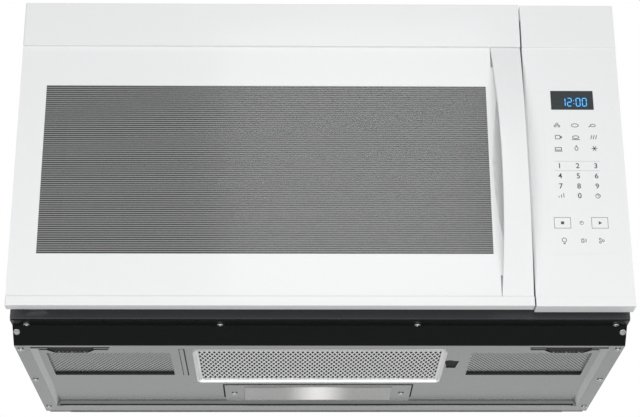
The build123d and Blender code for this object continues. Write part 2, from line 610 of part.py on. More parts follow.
# ================================================================ oven cavity
ow = oven_wall
guide_y0, guide_y1 = oven_cy - 50, oven_cy + 50
guide_z0, guide_z1 = oven_z1 - 132, oven_z1 - 32
mouth = 12.0
bulb_y = y_frame + 64.55
with BuildPart() as oven_cavity:
    block(oven_x0 - ow, oven_x1 + ow, y_frame, oven_back + ow, oven_low - ow, oven_z1 + ow)
    block(oven_x0, oven_x1, y_frame, oven_back, oven_low, oven_z1, Mode.SUBTRACT)
    tube_z(oven_low - ow, oven_low, oven_cx, oven_cy, 7, Mode.SUBTRACT)
    block(oven_x1, oven_x1 + ow, guide_y0 + mouth, guide_y1 - mouth, guide_z0 + mouth, guide_z1 - mouth,
          Mode.SUBTRACT)
    with BuildSketch(Plane.YZ.offset(oven_x1)):
        with Locations((bulb_y, oven_z1 - 40)):
            with GridLocations(12, 12, 5, 3):
                Rectangle(7, 7)
        with Locations((oven_cy + 110, oven_z1 - 40)):
            with GridLocations(12, 12, 3, 3):
                Rectangle(7, 7)
    extrude(amount=ow, mode=Mode.SUBTRACT)
oven_cavity.part.label = "oven_cavity"

with BuildPart() as guide_cover:
    block(oven_x1 - 0.8, oven_x1, guide_y0 + 4, guide_y1 - 4, guide_z0 + 4, guide_z1 - 4)
guide_cover.part.label = "guide_cover"

guide_x0 = oven_x1 + ow
guide_x1 = guide_x0 + 32
mag_z = (guide_z0 + guide_z1) / 2
with BuildPart() as wave_guide:
    block(guide_x0, guide_x1, guide_y0, guide_y1, guide_z0, guide_z1)
    block(guide_x0 + 1, guide_x1 - 1, guide_y0 + 1, guide_y1 - 1, guide_z0 + 1, guide_z1 - 1, Mode.SUBTRACT)
    block(guide_x0, guide_x0 + 1, guide_y0 + mouth, guide_y1 - mouth, guide_z0 + mouth, guide_z1 - mouth,
          Mode.SUBTRACT)
    tube_x(guide_x1 - 1, guide_x1, oven_cy, mag_z, 12, Mode.SUBTRACT)
wave_guide.part.label = "wave_guide"

with BuildPart() as magnetron:
    block(guide_x1, guide_x1 + 3, oven_cy - 42, oven_cy + 42, mag_z - 42, mag_z + 42)
    block(guide_x1 + 3, guide_x1 + 66, oven_cy - 42, oven_cy - 40.5, mag_z - 42, mag_z + 42)
    block(guide_x1 + 3, guide_x1 + 66, oven_cy + 40.5, oven_cy + 42, mag_z - 42, mag_z + 42)
    block(guide_x1 + 66, guide_x1 + 68, oven_cy - 42, oven_cy + 42, mag_z - 42, mag_z + 42)
    bar_x(guide_x1 + 3, guide_x1 + 66, oven_cy, mag_z, 20, 8)
    tube_x(guide_x1 - 16, guide_x1, oven_cy, mag_z, 7.5)
    for i in range(7):
        fx = guide_x1 + 14 + i * 7.5
        block(fx, fx + 0.8, oven_cy - 40.5, oven_cy + 40.5, mag_z - 40, mag_z + 40)
    block(guide_x1 + 68, guide_x1 + 100, oven_cy - 28, oven_cy + 28, mag_z - 24, mag_z + 24)
magnetron.part.label = "magnetron"

deck_top = deck_z + sheet
tr_x0, tr_x1 = guide_x0 + 28, guide_x0 + 128
tr_y0, tr_y1 = oven_cy - 8, oven_cy + 70
with BuildPart() as power_transformer:
    block(tr_x0, tr_x1, tr_y0, tr_y1, deck_top, deck_top + 3)
    block(tr_x0 + 10, tr_x1 - 10, tr_y0 + 8, tr_y1 - 8, deck_top + 3, deck_top + 76)
    block(tr_x0 + 22, tr_x1 - 22, tr_y0 - 6, tr_y1 + 6, deck_top + 14, deck_top + 38)
    block(tr_x0 + 22, tr_x1 - 22, tr_y0 - 4, tr_y1 + 4, deck_top + 42, deck_top + 64)
power_transformer.part.label = "power_transformer"

cap_x, cap_y = guide_x0 + 130, oven_cy - 60
with BuildPart() as hv_capacitor:
    tube_z(deck_top, deck_top + 90, cap_x, cap_y, 24)
    block(cap_x - 5, cap_x - 2, cap_y - 8, cap_y + 8, deck_top + 90, deck_top + 100)
    block(cap_x + 2, cap_x + 5, cap_y - 8, cap_y + 8, deck_top + 90, deck_top + 100)
    block(cap_x - 34, cap_x - 22, cap_y - 6, cap_y + 6, deck_top, deck_top + 20)
hv_capacitor.part.label = "hv_capacitor"

# cooling fan on a shroud behind the magnetron
fan_x = (guide_x1 + side_x) / 2 - 16
fan_z = mag_z
shroud_y = oven_cy + 92
with BuildPart() as fan_shroud:
    block(guide_x0, side_x - sheet, shroud_y, shroud_y + sheet, deck_top, fan_z + 62)
    tube_y(shroud_y, shroud_y + sheet, fan_x, fan_z, fan_r + 4, Mode.SUBTRACT)
    block(guide_x0, side_x - sheet, shroud_y - 12, shroud_y, deck_top, deck_top + sheet)
    for s in (-1, 1):
        block(fan_x + s * 54 - 4, fan_x + s * 54 + 4, shroud_y + sheet, shroud_y + 38, fan_z - 5, fan_z + 5)
    block(fan_x - 58, fan_x + 58, shroud_y + 36, shroud_y + 38, fan_z - 8, fan_z + 8)
    tube_y(shroud_y + 36, shroud_y + 38, fan_x, fan_z, 3, Mode.SUBTRACT)
fan_shroud.part.label = "fan_shroud"

shaft_r = 2.5
with BuildPart() as fan_motor:
    block(fan_x - 24, fan_x + 24, shroud_y + 38, shroud_y + 60, fan_z - 20, fan_z + 20)
    tube_y(shroud_y + 38, shroud_y + 50, fan_x, fan_z, shaft_r + run, Mode.SUBTRACT)
fan_motor.part.label = "fan_motor"

blades = 5
with BuildPart() as fan_blade:
    tube_y(shroud_y + 6, shroud_y + 20, fan_x, fan_z, 10)
    tube_y(shroud_y + 20, shroud_y + 49, fan_x, fan_z, shaft_r)
    for i in range(blades):
        with Locations(Location((fan_x, shroud_y + 13, fan_z), (0, 360 / blades * i, 0))):
            with Locations(Location(((fan_r + 8) / 2, 0, 0), (35, 0, 0))):
                Box(fan_r - 8, 1.4, 20)
fan_blade.part.label = "fan_blade"

# ================================================================ turning plate
lift = 0.3
wheel_z = oven_low + lift + roller_r
ring_z0, ring_z1 = wheel_z - 1.5, wheel_z + 1.5
axle_r = 1.5
tray_z = wheel_z + roller_r + lift
motor_top = oven_low - ow
with BuildPart() as turntable_motor:
    tube_z(motor_top - 20, motor_top, oven_cx, oven_cy, 25)
    tube_z(motor_top - 20, motor_top, oven_cx, oven_cy, 3.5 + run, Mode.SUBTRACT)
    tube_z(motor_top - 22, motor_top - 20, oven_cx, oven_cy, 25)
turntable_motor.part.label = "turntable_motor"

hub_r = 15.0
with BuildPart() as turntable_coupler:
    tube_z(motor_top - 19, oven_low + 2, oven_cx, oven_cy, 3.5)
    tube_z(oven_low + 2, tray_z - lift, oven_cx, oven_cy, 9)
    for i in range(3):
        with Locations(Location((oven_cx, oven_cy, 0), (0, 0, 120 * i))):
            with Locations((hub_r / 2, 0, (oven_low + 2 + tray_z - lift) / 2)):
                Box(hub_r, 8, tray_z - lift - oven_low - 2)
turntable_coupler.part.label = "turntable_coupler"

with BuildPart() as roller_ring:
    tube_z(ring_z0, ring_z1, oven_cx, oven_cy, track_r - 8)
    tube_z(ring_z0, ring_z1, oven_cx, oven_cy, track_r - 18, Mode.SUBTRACT)
    for i in range(3):
        with Locations(Location((oven_cx, oven_cy, wheel_z), (0, 0, 120 * i + 30))):
            with Locations(Location((track_r - 2, 0, 0), (0, 90, 0))):
                Cylinder(axle_r, 14)
            with Locations(Location((track_r + 5.5, 0, 0), (0, 0, 0))):
                Box(1, 2 * axle_r + 2, 2 * axle_r + 2)
roller_ring.part.label = "roller_ring"

rollers = []
for i in range(3):
    with BuildPart() as roller:
        with Locations(Location((oven_cx, oven_cy, wheel_z), (0, 0, 120 * i + 30))):
            with Locations(Location((track_r - 1.2, 0, 0), (0, 90, 0))):
                Cylinder(roller_r, 11)
            with Locations(Location((track_r - 1.2, 0, 0), (0, 90, 0))):
                Cylinder(axle_r + run, 11, mode=Mode.SUBTRACT)
    roller.part.label = f"roller_{i + 1}"
    rollers.append(roller.part)

tray_t = 4.0
tray_rim = oven_cx + tray_d / 2
with BuildPart() as glass_tray:
    with BuildSketch(Plane.XZ.offset(-oven_cy)):
        with BuildLine():
            Polyline((oven_cx, tray_z), (tray_rim - 26.5, tray_z), (tray_rim, tray_z + 13),
                     (tray_rim, tray_z + 16), (tray_rim - 3, tray_z + 16),
                     (tray_rim - 28.5, tray_z + tray_t), (oven_cx, tray_z + tray_t), close=True)
        make_face()
    revolve(axis=Axis((oven_cx, oven_cy, 0), (0, 0, 1)))
glass_tray.part.label = "glass_tray"

# ================================================================ blower over the cavity
box_z0, box_z1 = oven_z1 + ow, body_top - sheet
box_y0, box_y1 = duct_y0 - 4, duct_y1 + 4
box_x = duct_w / 2 + 4
blow_y, blow_z = (box_y0 + box_y1) / 2, box_z0 + 48
bt = 1.0
eye_r = 30.0
flap_t = 1.0
flap_pin_r = 1.2
flap_z = body_top - 3.5
flap_hinge_y = duct_y1 - 5
with BuildPart() as blower_housing:
    block(-box_x, box_x, box_y0, box_y1, box_z0, box_z1)
    block(-box_x + bt, box_x - bt, box_y0 + bt, box_y1 - bt, box_z0 + bt, box_z1, Mode.SUBTRACT)
    for s in (-1, 1):
        tube_x(min(s * box_x, s * (box_x - bt)), max(s * box_x, s * (box_x - bt)), blow_y, blow_z, eye_r,
               Mode.SUBTRACT)
    tube_x(-box_x, box_x, flap_hinge_y, flap_z + flap_t / 2, flap_pin_r + run, Mode.SUBTRACT)
    block(-30, 30, blow_y - 20, blow_y + 20, box_z0 + bt, box_z0 + 8)
blower_housing.part.label = "blower_housing"

motor_r, motor_half = 32.0, 30.0
with BuildPart() as blower_motor:
    tube_x(-motor_half, motor_half, blow_y, blow_z, motor_r)
    block(-26, 26, blow_y - 16, blow_y + 16, box_z0 + 8, blow_z)
    tube_x(-motor_half, motor_half, blow_y, blow_z, 4 + run, Mode.SUBTRACT)
blower_motor.part.label = "blower_motor"

vanes = 12
vane_x0, vane_x1 = motor_half + 8, box_x - 10
with BuildPart() as blower_wheels:
    tube_x(-motor_half - 12, motor_half + 12, blow_y, blow_z, 4)
    for s in (-1, 1):
        xa, xb = sorted((s * vane_x0, s * (vane_x0 + 2)))
        bar_x(xa, xb, blow_y, blow_z, wheel_r, 2 * vanes)
        xa, xb = sorted((s * vane_x1, s * (vane_x1 + 2)))
        bar_x(xa, xb, blow_y, blow_z, wheel_r, 2 * vanes)
        bar_x(xa, xb, blow_y, blow_z, wheel_r - 8, 2 * vanes, Mode.SUBTRACT)
        for i in range(vanes):
            with Locations(Location((s * (vane_x0 + vane_x1 + 2) / 2, blow_y, blow_z),
                                    (360 / vanes * i, 0, 0))):
                with Locations(Location((0, wheel_r - 4, 0), (30, 0, 0))):
                    Box(vane_x1 - vane_x0, 8, 1.0)
blower_wheels.part.label = "blower_wheels"

with BuildPart() as damper_flap:
    block(-duct_w / 2 + 1, duct_w / 2 - 1, duct_y0 + 1, flap_hinge_y, flap_z, flap_z + flap_t)
    tube_x(-duct_w / 2 + 1, duct_w / 2 - 1, flap_hinge_y, flap_z + flap_t / 2, 2)
    tube_x(-box_x, box_x, flap_hinge_y, flap_z + flap_t / 2, flap_pin_r)
damper_flap.part.label = "damper_flap"

carbon_x0, carbon_x1 = oven_x0 + 89, oven_x1 - 91
carbon_y = y_frame + 24.3
carbon_z = oven_z1 + ow
with BuildPart() as carbon_filter:
    block(carbon_x0, carbon_x1, carbon_y, carbon_y + 18, carbon_z, carbon_z + 88)
    with BuildSketch(Plane.XZ.offset(-carbon_y)):
        with Locations(((carbon_x0 + carbon_x1) / 2, carbon_z + 44)):
            with GridLocations(42, 38, 8, 2):
                Rectangle(38, 34)
    extrude(amount=-4, mode=Mode.SUBTRACT)
carbon_filter.part.label = "carbon_filter"

with BuildPart() as oven_lamp:
    tube_x(oven_x1 + ow + 4, oven_x1 + ow + 34, bulb_y, oven_z1 - 40, 10)
    bar_x(oven_x1 + ow + 34, oven_x1 + ow + 44, bulb_y, oven_z1 - 40, 12, 8)
    block(oven_x1 + ow, oven_x1 + ow + 44, bulb_y - 14, bulb_y - 12, oven_z1 - 55, oven_z1 - 25)
    block(oven_x1 + ow + 34, oven_x1 + ow + 44, bulb_y - 14, bulb_y - 5, oven_z1 - 46, oven_z1 - 34)
oven_lamp.part.label = "oven_lamp"

lock_x0 = hook_x - 12
with BuildPart() as interlock_block:
    block(lock_x0, hook_x + 16, y_frame, y_frame + 34, hook_z[0] - 30, hook_z[1] + 30)
    for hz in hook_z:
        block(hook_x - 4, hook_x + 4, y_frame, y_frame + 28, hz - 16, hz + 14, Mode.SUBTRACT)
    block(lock_x0, hook_x + 16, y_frame + 12, y_frame + 34, hook_z[0] + 30, hook_z[1] - 30, Mode.SUBTRACT)
interlock_block.part.label = "interlock_block"

with BuildPart() as cord_gland:
    tube_z(body_top - 6, body_top + 2, gland_x, gland_y, gland_r - 0.2)
    tube_z(body_top, body_top + 2, gland_x, gland_y, gland_r + 3)
    tube_z(body_top - 6, body_top + 2, gland_x, gland_y, gland_r - 4, Mode.SUBTRACT)
cord_gland.part.label = "cord_gland"

pieces = [wall_plate, rear_panel, cabinet_wrap, front_frame, vent_grille, front_valance, base_plate, air_deck,
          underside_screws, filter_frame, filter_mesh, light_cover, light_lens, light_screws, worktop_lamp,
          door_bezel, door_grip, window_glass, door_tray, window_screen, choke_panel, choke_cover,
          window_film, latch_slide, latch_spring, hinge_arms, hinge_pins, control_fascia, display_window,
          keypad_overlay, panel_carrier, control_board, oven_cavity, guide_cover, wave_guide, magnetron,
          power_transformer, hv_capacitor, fan_shroud, fan_motor, fan_blade, turntable_motor,
          turntable_coupler, roller_ring, glass_tray, blower_housing, blower_motor, blower_wheels,
          damper_flap, carbon_filter, oven_lamp, interlock_block, cord_gland]
for piece in pieces:
    export_step(piece.part, f"parts/{piece.part.label}.step")
for part in rollers:
    export_step(part, f"parts/{part.label}.step")
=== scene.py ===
"""Looks of a white over-the-range microwave oven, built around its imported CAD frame."""

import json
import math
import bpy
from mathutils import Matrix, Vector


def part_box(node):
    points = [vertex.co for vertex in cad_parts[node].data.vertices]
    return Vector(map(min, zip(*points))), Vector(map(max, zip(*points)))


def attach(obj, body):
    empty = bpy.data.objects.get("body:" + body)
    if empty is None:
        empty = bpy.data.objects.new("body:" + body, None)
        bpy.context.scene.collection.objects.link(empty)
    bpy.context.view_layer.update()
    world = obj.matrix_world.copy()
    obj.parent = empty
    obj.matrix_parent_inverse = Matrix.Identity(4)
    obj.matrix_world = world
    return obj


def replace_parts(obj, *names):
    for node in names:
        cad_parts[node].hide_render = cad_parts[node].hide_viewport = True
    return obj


bl_info = {
    "name": "Over-the-range oven looks",
    "version": (1, 0, 0),
    "blender": (4, 5, 0),
    "location": "View3D > Sidebar > Oven",
    "description": "Dresses the CAD frame of an over-the-range oven and sets its stage",
    "category": "Object",
}

import bpy
from mathutils import Matrix, Vector

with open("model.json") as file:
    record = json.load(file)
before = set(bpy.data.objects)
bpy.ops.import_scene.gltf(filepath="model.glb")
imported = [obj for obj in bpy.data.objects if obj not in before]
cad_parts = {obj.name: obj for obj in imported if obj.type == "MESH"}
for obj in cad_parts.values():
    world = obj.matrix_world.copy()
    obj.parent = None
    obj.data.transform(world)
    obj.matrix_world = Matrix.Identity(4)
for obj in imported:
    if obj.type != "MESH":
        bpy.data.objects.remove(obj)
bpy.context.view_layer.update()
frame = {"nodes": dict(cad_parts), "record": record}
NODES = frame["nodes"]
BODIES = frame["record"]["behaviour"]["bodies"]
BODY_OF = {node: body for body, members in BODIES.items() for node in members}
SLOT_OF = {row["node"]: row["material_slot"] for row in frame["record"]["subparts"]}
# the finishes by slot, filled by the first step
MATERIALS = {}

MM = 0.001
# edges that turn by more than this are rounded, or else shaded sharp
SHARP = math.radians(35)
# turns of a mark that stands upright, and of a four-sided one whose sides lie level
UPRIGHT = math.pi / 2
SQUARE = math.pi / 4

# the two vent fields, read from the photograph's underside, and the height of their pans' floor, mm
VENT_SIDES = ((-346.0, -189.5), (194.0, 346.5))
VENT_Y = (-252.5, -157.0)
PAN_Z = 9.0


# ---------------------------------------------------------------- places, in millimetres
def in_mm(box):
    """The corners of one of the frame's boxes."""
    return [[c / MM for c in corner] for corner in box]


def about(middle, reach):
    """A range given by how far its two ends lie from a middle."""
    return middle + reach[0], middle + reach[1]


def space(xs, ys, zs):
    """The two corners of the block between three ranges."""
    return tuple(zip(xs, ys, zs))


def both_sides(xs, ys, zs):
    """The space of a block on the right and of its mirror image, the left one first."""
    return [space((-xs[1], -xs[0]), ys, zs), space(xs, ys, zs)]


# ---------------------------------------------------------------- working with objects
def deselect():
    bpy.ops.object.select_all(action="DESELECT")


def select_only(piece):
    deselect()
    piece.select_set(True)
    bpy.context.view_layer.objects.active = piece


def added(name):
    """The object that an operator has just added, named and alone in the selection."""
    piece = bpy.context.object
    piece.name = name
    piece.data.name = name
    select_only(piece)
    return piece


def place_in_mesh(piece):
    select_only(piece)
    bpy.ops.object.transform_apply(location=True, rotation=True, scale=True)
    return piece


def joined(parts, name):
    deselect()
    for part in parts:
        part.select_set(True)
    bpy.context.view_layer.objects.active = parts[0]
    if len(parts) > 1:
        bpy.ops.object.join()
    return place_in_mesh(added(name))


def apply_modifier(piece, kind, **settings):
    select_only(piece)
    modifier = piece.modifiers.new(kind.lower(), kind)
    for key, value in settings.items():
        setattr(modifier, key, value)
    bpy.ops.object.modifier_apply(modifier=modifier.name)


def repeated(piece, count, step, **settings):
    """Repeats a piece at a step given in metres."""
    apply_modifier(piece, "ARRAY", count=count, use_relative_offset=False, use_constant_offset=True,
                   constant_offset_displace=step, **settings)


def pick(piece, wanted):
    """Selects in edit mode the vertices whose place passes the test."""
    bpy.ops.object.mode_set(mode="EDIT")
    bpy.ops.mesh.select_mode(type="VERT")
    bpy.ops.mesh.select_all(action="DESELECT")
    bpy.ops.object.mode_set(mode="OBJECT")
    for vertex in piece.data.vertices:
        vertex.select = wanted(vertex.co)
    bpy.ops.object.mode_set(mode="EDIT")


def dress(piece, material):
    piece.data.materials.clear()
    piece.data.materials.append(material)
    return piece


def cube(name, middle, size, turn=0.0):
    """A block given in metres, turned about the upright axis."""
    deselect()
    bpy.ops.mesh.primitive_cube_add(size=1, location=middle)
    piece = added(name)
    piece.scale = size
    piece.rotation_euler = (0, 0, turn)
    return place_in_mesh(piece)


def slab(name, low, high):
    """A block between two corners given in millimetres."""
    middle = [(a + b) / 2 * MM for a, b in zip(low, high)]
    return cube(name, middle, [(b - a) * MM for a, b in zip(low, high)])


def cut(piece, low, high, rear=1.0):
    """Cuts a block away, whose rear may be narrowed to a share of its width."""
    cutter = slab("cutter", low, high)
    if rear != 1.0:
        middle = (low[0] + high[0]) / 2 * MM
        pick(cutter, lambda p: p.y > (low[1] + high[1]) / 2 * MM)
        bpy.ops.transform.resize(value=(rear, 1, 1), center_override=(middle, 0, 0))
        bpy.ops.object.mode_set(mode="OBJECT")
    apply_modifier(piece, "BOOLEAN", operation="DIFFERENCE", object=cutter, solver="EXACT")
    bpy.data.objects.remove(cutter)


def shade_backing(name, spaces, body="cabinet"):
    """Dark sheets behind openings and gaps: painted shade that stands for the shaded spaces inside."""
    parts = []
    for low, high in spaces:
        part = slab("shade_backing", low, high)
        apply_modifier(part, "BEVEL", width=0.05 * MM, segments=1)
        parts.append(part)
    piece = dress(joined(parts, name), MATERIALS["plenum_dark"])
    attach(piece, body)
    return piece


def rounded_corners(piece, radius):
    """Rounds the upright outer corners of a piece."""
    low = Vector(min(v.co[i] for v in piece.data.vertices) for i in range(3))
    high = Vector(max(v.co[i] for v in piece.data.vertices) for i in range(3))
    near = 0.1 * MM
    pick(piece, lambda p: (min(p.x - low.x, high.x - p.x) < near
                           and min(p.y - low.y, high.y - p.y) < near))
    bpy.ops.mesh.bevel(offset=radius * MM, segments=5, affect="EDGES")
    bpy.ops.object.mode_set(mode="OBJECT")


def softened(node, edge, segments=2, cuts=(), corner=0.0):
    """A merged copy of a CAD node, cut open and with its sharp edges rounded, which stands for the node."""
    source = NODES[node]
    piece = bpy.data.objects.new(node + "_skin", source.data.copy())
    bpy.context.scene.collection.objects.link(piece)
    select_only(piece)
    bpy.ops.object.mode_set(mode="EDIT")
    bpy.ops.mesh.select_all(action="SELECT")
    bpy.ops.mesh.remove_doubles(threshold=0.002 * MM)
    bpy.ops.mesh.dissolve_limited(angle_limit=math.radians(0.2))
    bpy.ops.object.mode_set(mode="OBJECT")
    for opening in cuts:
        cut(piece, *opening)
    if corner:
        rounded_corners(piece, corner)
    if edge:
        apply_modifier(piece, "BEVEL", width=edge * MM, segments=segments, limit_method="ANGLE",
                       angle_limit=SHARP, use_clamp_overlap=True, harden_normals=False)
    select_only(piece)
    bpy.ops.object.shade_smooth_by_angle(angle=SHARP)
    apply_modifier(piece, "WEIGHTED_NORMAL", weight=100, keep_sharp=True)
    dress(piece, NODES[node].data.materials[0])
    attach(piece, BODY_OF[node])
    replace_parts(piece, node)
    return piece


# ---------------------------------------------------------------- finishes
def blank(name):
    material = bpy.data.materials.new(name)
    material.use_nodes = True
    return material, material.node_tree, material.node_tree.nodes["Principled BSDF"]


def grain_of(tree, scale, stretch=(1, 1, 1), detail=4.0):
    """Noise in the piece's own coordinates, drawn out along an axis where stretch is small."""
    coords = tree.nodes.new("ShaderNodeTexCoord")
    mapping = tree.nodes.new("ShaderNodeMapping")
    mapping.inputs["Scale"].default_value = stretch
    noise = tree.nodes.new("ShaderNodeTexNoise")
    noise.inputs["Scale"].default_value = scale
    noise.inputs["Detail"].default_value = detail
    tree.links.new(coords.outputs["Object"], mapping.inputs["Vector"])
    tree.links.new(mapping.outputs["Vector"], noise.inputs["Vector"])
    return noise.outputs["Fac"]


def ranged(tree, value, low, high):
    node = tree.nodes.new("ShaderNodeMapRange")
    node.inputs["To Min"].default_value = low
    node.inputs["To Max"].default_value = high
    tree.links.new(value, node.inputs["Value"])
    return node.outputs["Result"]


def tinted(tree, value, dark, light):
    ramp = tree.nodes.new("ShaderNodeValToRGB")
    ramp.color_ramp.elements[0].position = 0.3
    ramp.color_ramp.elements[0].color = (*dark, 1)
    ramp.color_ramp.elements[1].position = 0.7
    ramp.color_ramp.elements[1].color = (*light, 1)
    tree.links.new(value, ramp.inputs["Fac"])
    return ramp.outputs["Color"]


def bumped(tree, shader, value, strength, distance):
    bump = tree.nodes.new("ShaderNodeBump")
    bump.inputs["Strength"].default_value = strength
    bump.inputs["Distance"].default_value = distance
    tree.links.new(value, bump.inputs["Height"])
    tree.links.new(bump.outputs["Normal"], shader.inputs["Normal"])


def shade(colour, factor):
    return tuple(min(1.0, c * factor) for c in colour)


def surface(name, colour, rough, scale, metal=0.0, stretch=(1, 1, 1), vary=0.03, bump=0.05, depth=0.05,
            coat=0.0, specular=0.5):
    """A finish whose colour, roughness and relief all follow one grain."""
    material, tree, shader = blank(name)
    grain = grain_of(tree, scale, stretch)
    tint = tinted(tree, grain, shade(colour, 1 - vary), shade(colour, 1 + vary))
    tree.links.new(tint, shader.inputs["Base Color"])
    tree.links.new(ranged(tree, grain, rough * 0.85, rough * 1.15), shader.inputs["Roughness"])
    shader.inputs["Metallic"].default_value = metal
    shader.inputs["Specular IOR Level"].default_value = specular
    shader.inputs["Coat Weight"].default_value = coat
    shader.inputs["Coat Roughness"].default_value = 0.08
    bumped(tree, shader, grain, bump, depth * MM)
    return material


def lined_glass(pitch, dark, light):
    """Tinted glass printed with level lines at a real pitch."""
    # shares of the pitch between which the bare glass turns into the printed line
    bare_to, line_from = 0.18, 0.32
    material, tree, shader = blank("lined_glass")
    coords = tree.nodes.new("ShaderNodeTexCoord")
    split = tree.nodes.new("ShaderNodeSeparateXYZ")
    wave = tree.nodes.new("ShaderNodeMath")
    wave.operation = "PINGPONG"
    wave.inputs[1].default_value = pitch * MM / 2
    tree.links.new(coords.outputs["Object"], split.inputs["Vector"])
    tree.links.new(split.outputs["Z"], wave.inputs[0])
    line = tree.nodes.new("ShaderNodeMapRange")
    line.interpolation_type = "SMOOTHSTEP"
    line.inputs["From Min"].default_value = pitch * MM * bare_to
    line.inputs["From Max"].default_value = pitch * MM * line_from
    tree.links.new(wave.outputs["Value"], line.inputs["Value"])
    mix = tree.nodes.new("ShaderNodeMix")
    mix.data_type = "RGBA"
    mix.inputs["A"].default_value = (*dark, 1)
    mix.inputs["B"].default_value = (*light, 1)
    tree.links.new(line.outputs["Result"], mix.inputs["Factor"])
    tree.links.new(mix.outputs["Result"], shader.inputs["Base Color"])
    tree.links.new(ranged(tree, line.outputs["Result"], 0.12, 0.34), shader.inputs["Roughness"])
    tree.links.new(ranged(tree, line.outputs["Result"], 0.86, 1.0), shader.inputs["Alpha"])
    return material


def clear(name, colour, rough, alpha):
    material, tree, shader = blank(name)
    grain = grain_of(tree, 200)
    tree.links.new(tinted(tree, grain, shade(colour, 0.97), colour), shader.inputs["Base Color"])
    tree.links.new(ranged(tree, grain, rough * 0.8, rough * 1.2), shader.inputs["Roughness"])
    shader.inputs["Alpha"].default_value = alpha
    return material


def frosted_lens(glow, strength, half_width):
    """Frosted cover with the lamp behind it showing as a soft bright patch at its middle."""
    material, tree, shader = blank("frosted_lens")
    coords = tree.nodes.new("ShaderNodeTexCoord")
    split = tree.nodes.new("ShaderNodeSeparateXYZ")
    tree.links.new(coords.outputs["Object"], split.inputs["Vector"])
    away = tree.nodes.new("ShaderNodeMath")
    away.operation = "ABSOLUTE"
    tree.links.new(split.outputs["X"], away.inputs[0])
    fade = tree.nodes.new("ShaderNodeMapRange")
    fade.interpolation_type = "SMOOTHSTEP"
    fade.inputs["From Max"].default_value = half_width
    fade.inputs["To Min"].default_value = strength
    fade.inputs["To Max"].default_value = 0.0
    tree.links.new(away.outputs["Value"], fade.inputs["Value"])
    grain = grain_of(tree, 400)
    tint = tinted(tree, grain, (0.46, 0.46, 0.45), (0.54, 0.54, 0.53))
    tree.links.new(tint, shader.inputs["Base Color"])
    shader.inputs["Roughness"].default_value = 0.35
    shader.inputs["Emission Color"].default_value = (*glow, 1)
    tree.links.new(fade.outputs["Result"], shader.inputs["Emission Strength"])
    bumped(tree, shader, grain, 0.2, 0.05 * MM)
    return material


def glowing(name, colour, strength):
    material, tree, shader = blank(name)
    grain = grain_of(tree, 900)
    tree.links.new(tinted(tree, grain, shade(colour, 0.85), colour), shader.inputs["Base Color"])
    shader.inputs["Emission Color"].default_value = (*colour, 1)
    shader.inputs["Emission Strength"].default_value = strength
    return material


def finishes(colours):
    """One material for each slot of the record, and those of the added pieces."""
    white = tuple(colours.moulding)
    steel = tuple(colours.sheet_steel)
    satin = {"scale": 1500, "vary": 0.004, "bump": 0.008, "depth": 0.01, "coat": 0.25}
    brushed = (0.04, 1, 1)
    stacked = (1, 1, 0.04)
    return {
        "white_moulding": surface("white_moulding", white, 0.30, **satin),
        "window": lined_glass(colours.line_pitch, tuple(colours.line_dark), tuple(colours.line_light)),
        "clear_film": clear("clear_film", (0.8, 0.82, 0.82), 0.05, 0.2),
        "display": surface("display", (0.018, 0.026, 0.028), 0.10, scale=300, vary=0.1, bump=0.01,
                           coat=0.1, specular=0.4),
        "overlay": surface("overlay", white, 0.30, **satin),
        "zinc_sheet": surface("zinc_sheet", steel, 0.24, metal=1.0, scale=900, stretch=brushed, vary=0.03,
                              bump=0.012, depth=0.02),
        "white_enamel": surface("white_enamel", shade(white, 0.97), 0.16, scale=150, vary=0.012, bump=0.05,
                                coat=0.5),
        "dark_enamel": surface("dark_enamel", (0.055, 0.056, 0.058), 0.26, scale=600, vary=0.03, bump=0.02,
                               depth=0.02, coat=0.1, specular=0.35),
        "body_paint": surface("body_paint", shade(white, 0.93), 0.42, scale=500, vary=0.02, bump=0.12,
                              depth=0.04),
        "black_paint": surface("black_paint", (0.003, 0.004, 0.004), 0.22, scale=650, vary=0.15, bump=0.04,
                               depth=0.02, specular=0.2),
        "filter_alloy": surface("filter_alloy", (0.95, 0.95, 0.94), 0.34, metal=0.45, scale=900, vary=0.08,
                                bump=0.08, depth=0.03),
        "lens": frosted_lens((1.0, 0.98, 0.94), colours.lens_glow, half_width=48 * MM),
        "screw": surface("screw", (0.60, 0.60, 0.59), 0.18, metal=1.0, scale=900, vary=0.08, bump=0.05),
        "lamp": glowing("lamp", (1.0, 0.95, 0.85), 1.5),
        "tray_glass": clear("tray_glass", (0.82, 0.90, 0.88), 0.06, 0.42),
        "dark_plastic": surface("dark_plastic", (0.022, 0.022, 0.023), 0.45, scale=500, vary=0.12, bump=0.15),
        "grey_plastic": surface("grey_plastic", (0.17, 0.175, 0.175), 0.5, scale=500, vary=0.05, bump=0.15),
        "pale_plastic": surface("pale_plastic", (0.62, 0.62, 0.60), 0.45, scale=500, vary=0.03, bump=0.12),
        "mica": surface("mica", (0.46, 0.40, 0.27), 0.4, scale=90, vary=0.18, bump=0.2),
        "circuit": surface("circuit", (0.015, 0.09, 0.03), 0.4, scale=260, vary=0.3, bump=0.1),
        "iron_core": surface("iron_core", (0.065, 0.065, 0.07), 0.5, metal=0.6, scale=700, stretch=stacked,
                             vary=0.25, bump=0.3),
        "carbon": surface("carbon", (0.012, 0.012, 0.012), 0.9, scale=900, vary=0.4, bump=0.6, depth=0.3),
        "rubber": surface("rubber", (0.012, 0.012, 0.012), 0.7, scale=600, vary=0.15, bump=0.2),
        "ink": surface("ink", (0.035, 0.035, 0.04), 0.5, scale=1200, vary=0.1, bump=0.02),
        "clock_blue": glowing("clock_blue", tuple(colours.clock), 1.15),
        # near-black finish of the backing sheets: painted shade for the spaces behind openings and gaps
        "plenum_dark": surface("plenum_dark", (0.02, 0.02, 0.02), 0.8, scale=300, vary=0.2, bump=0.1),
    }


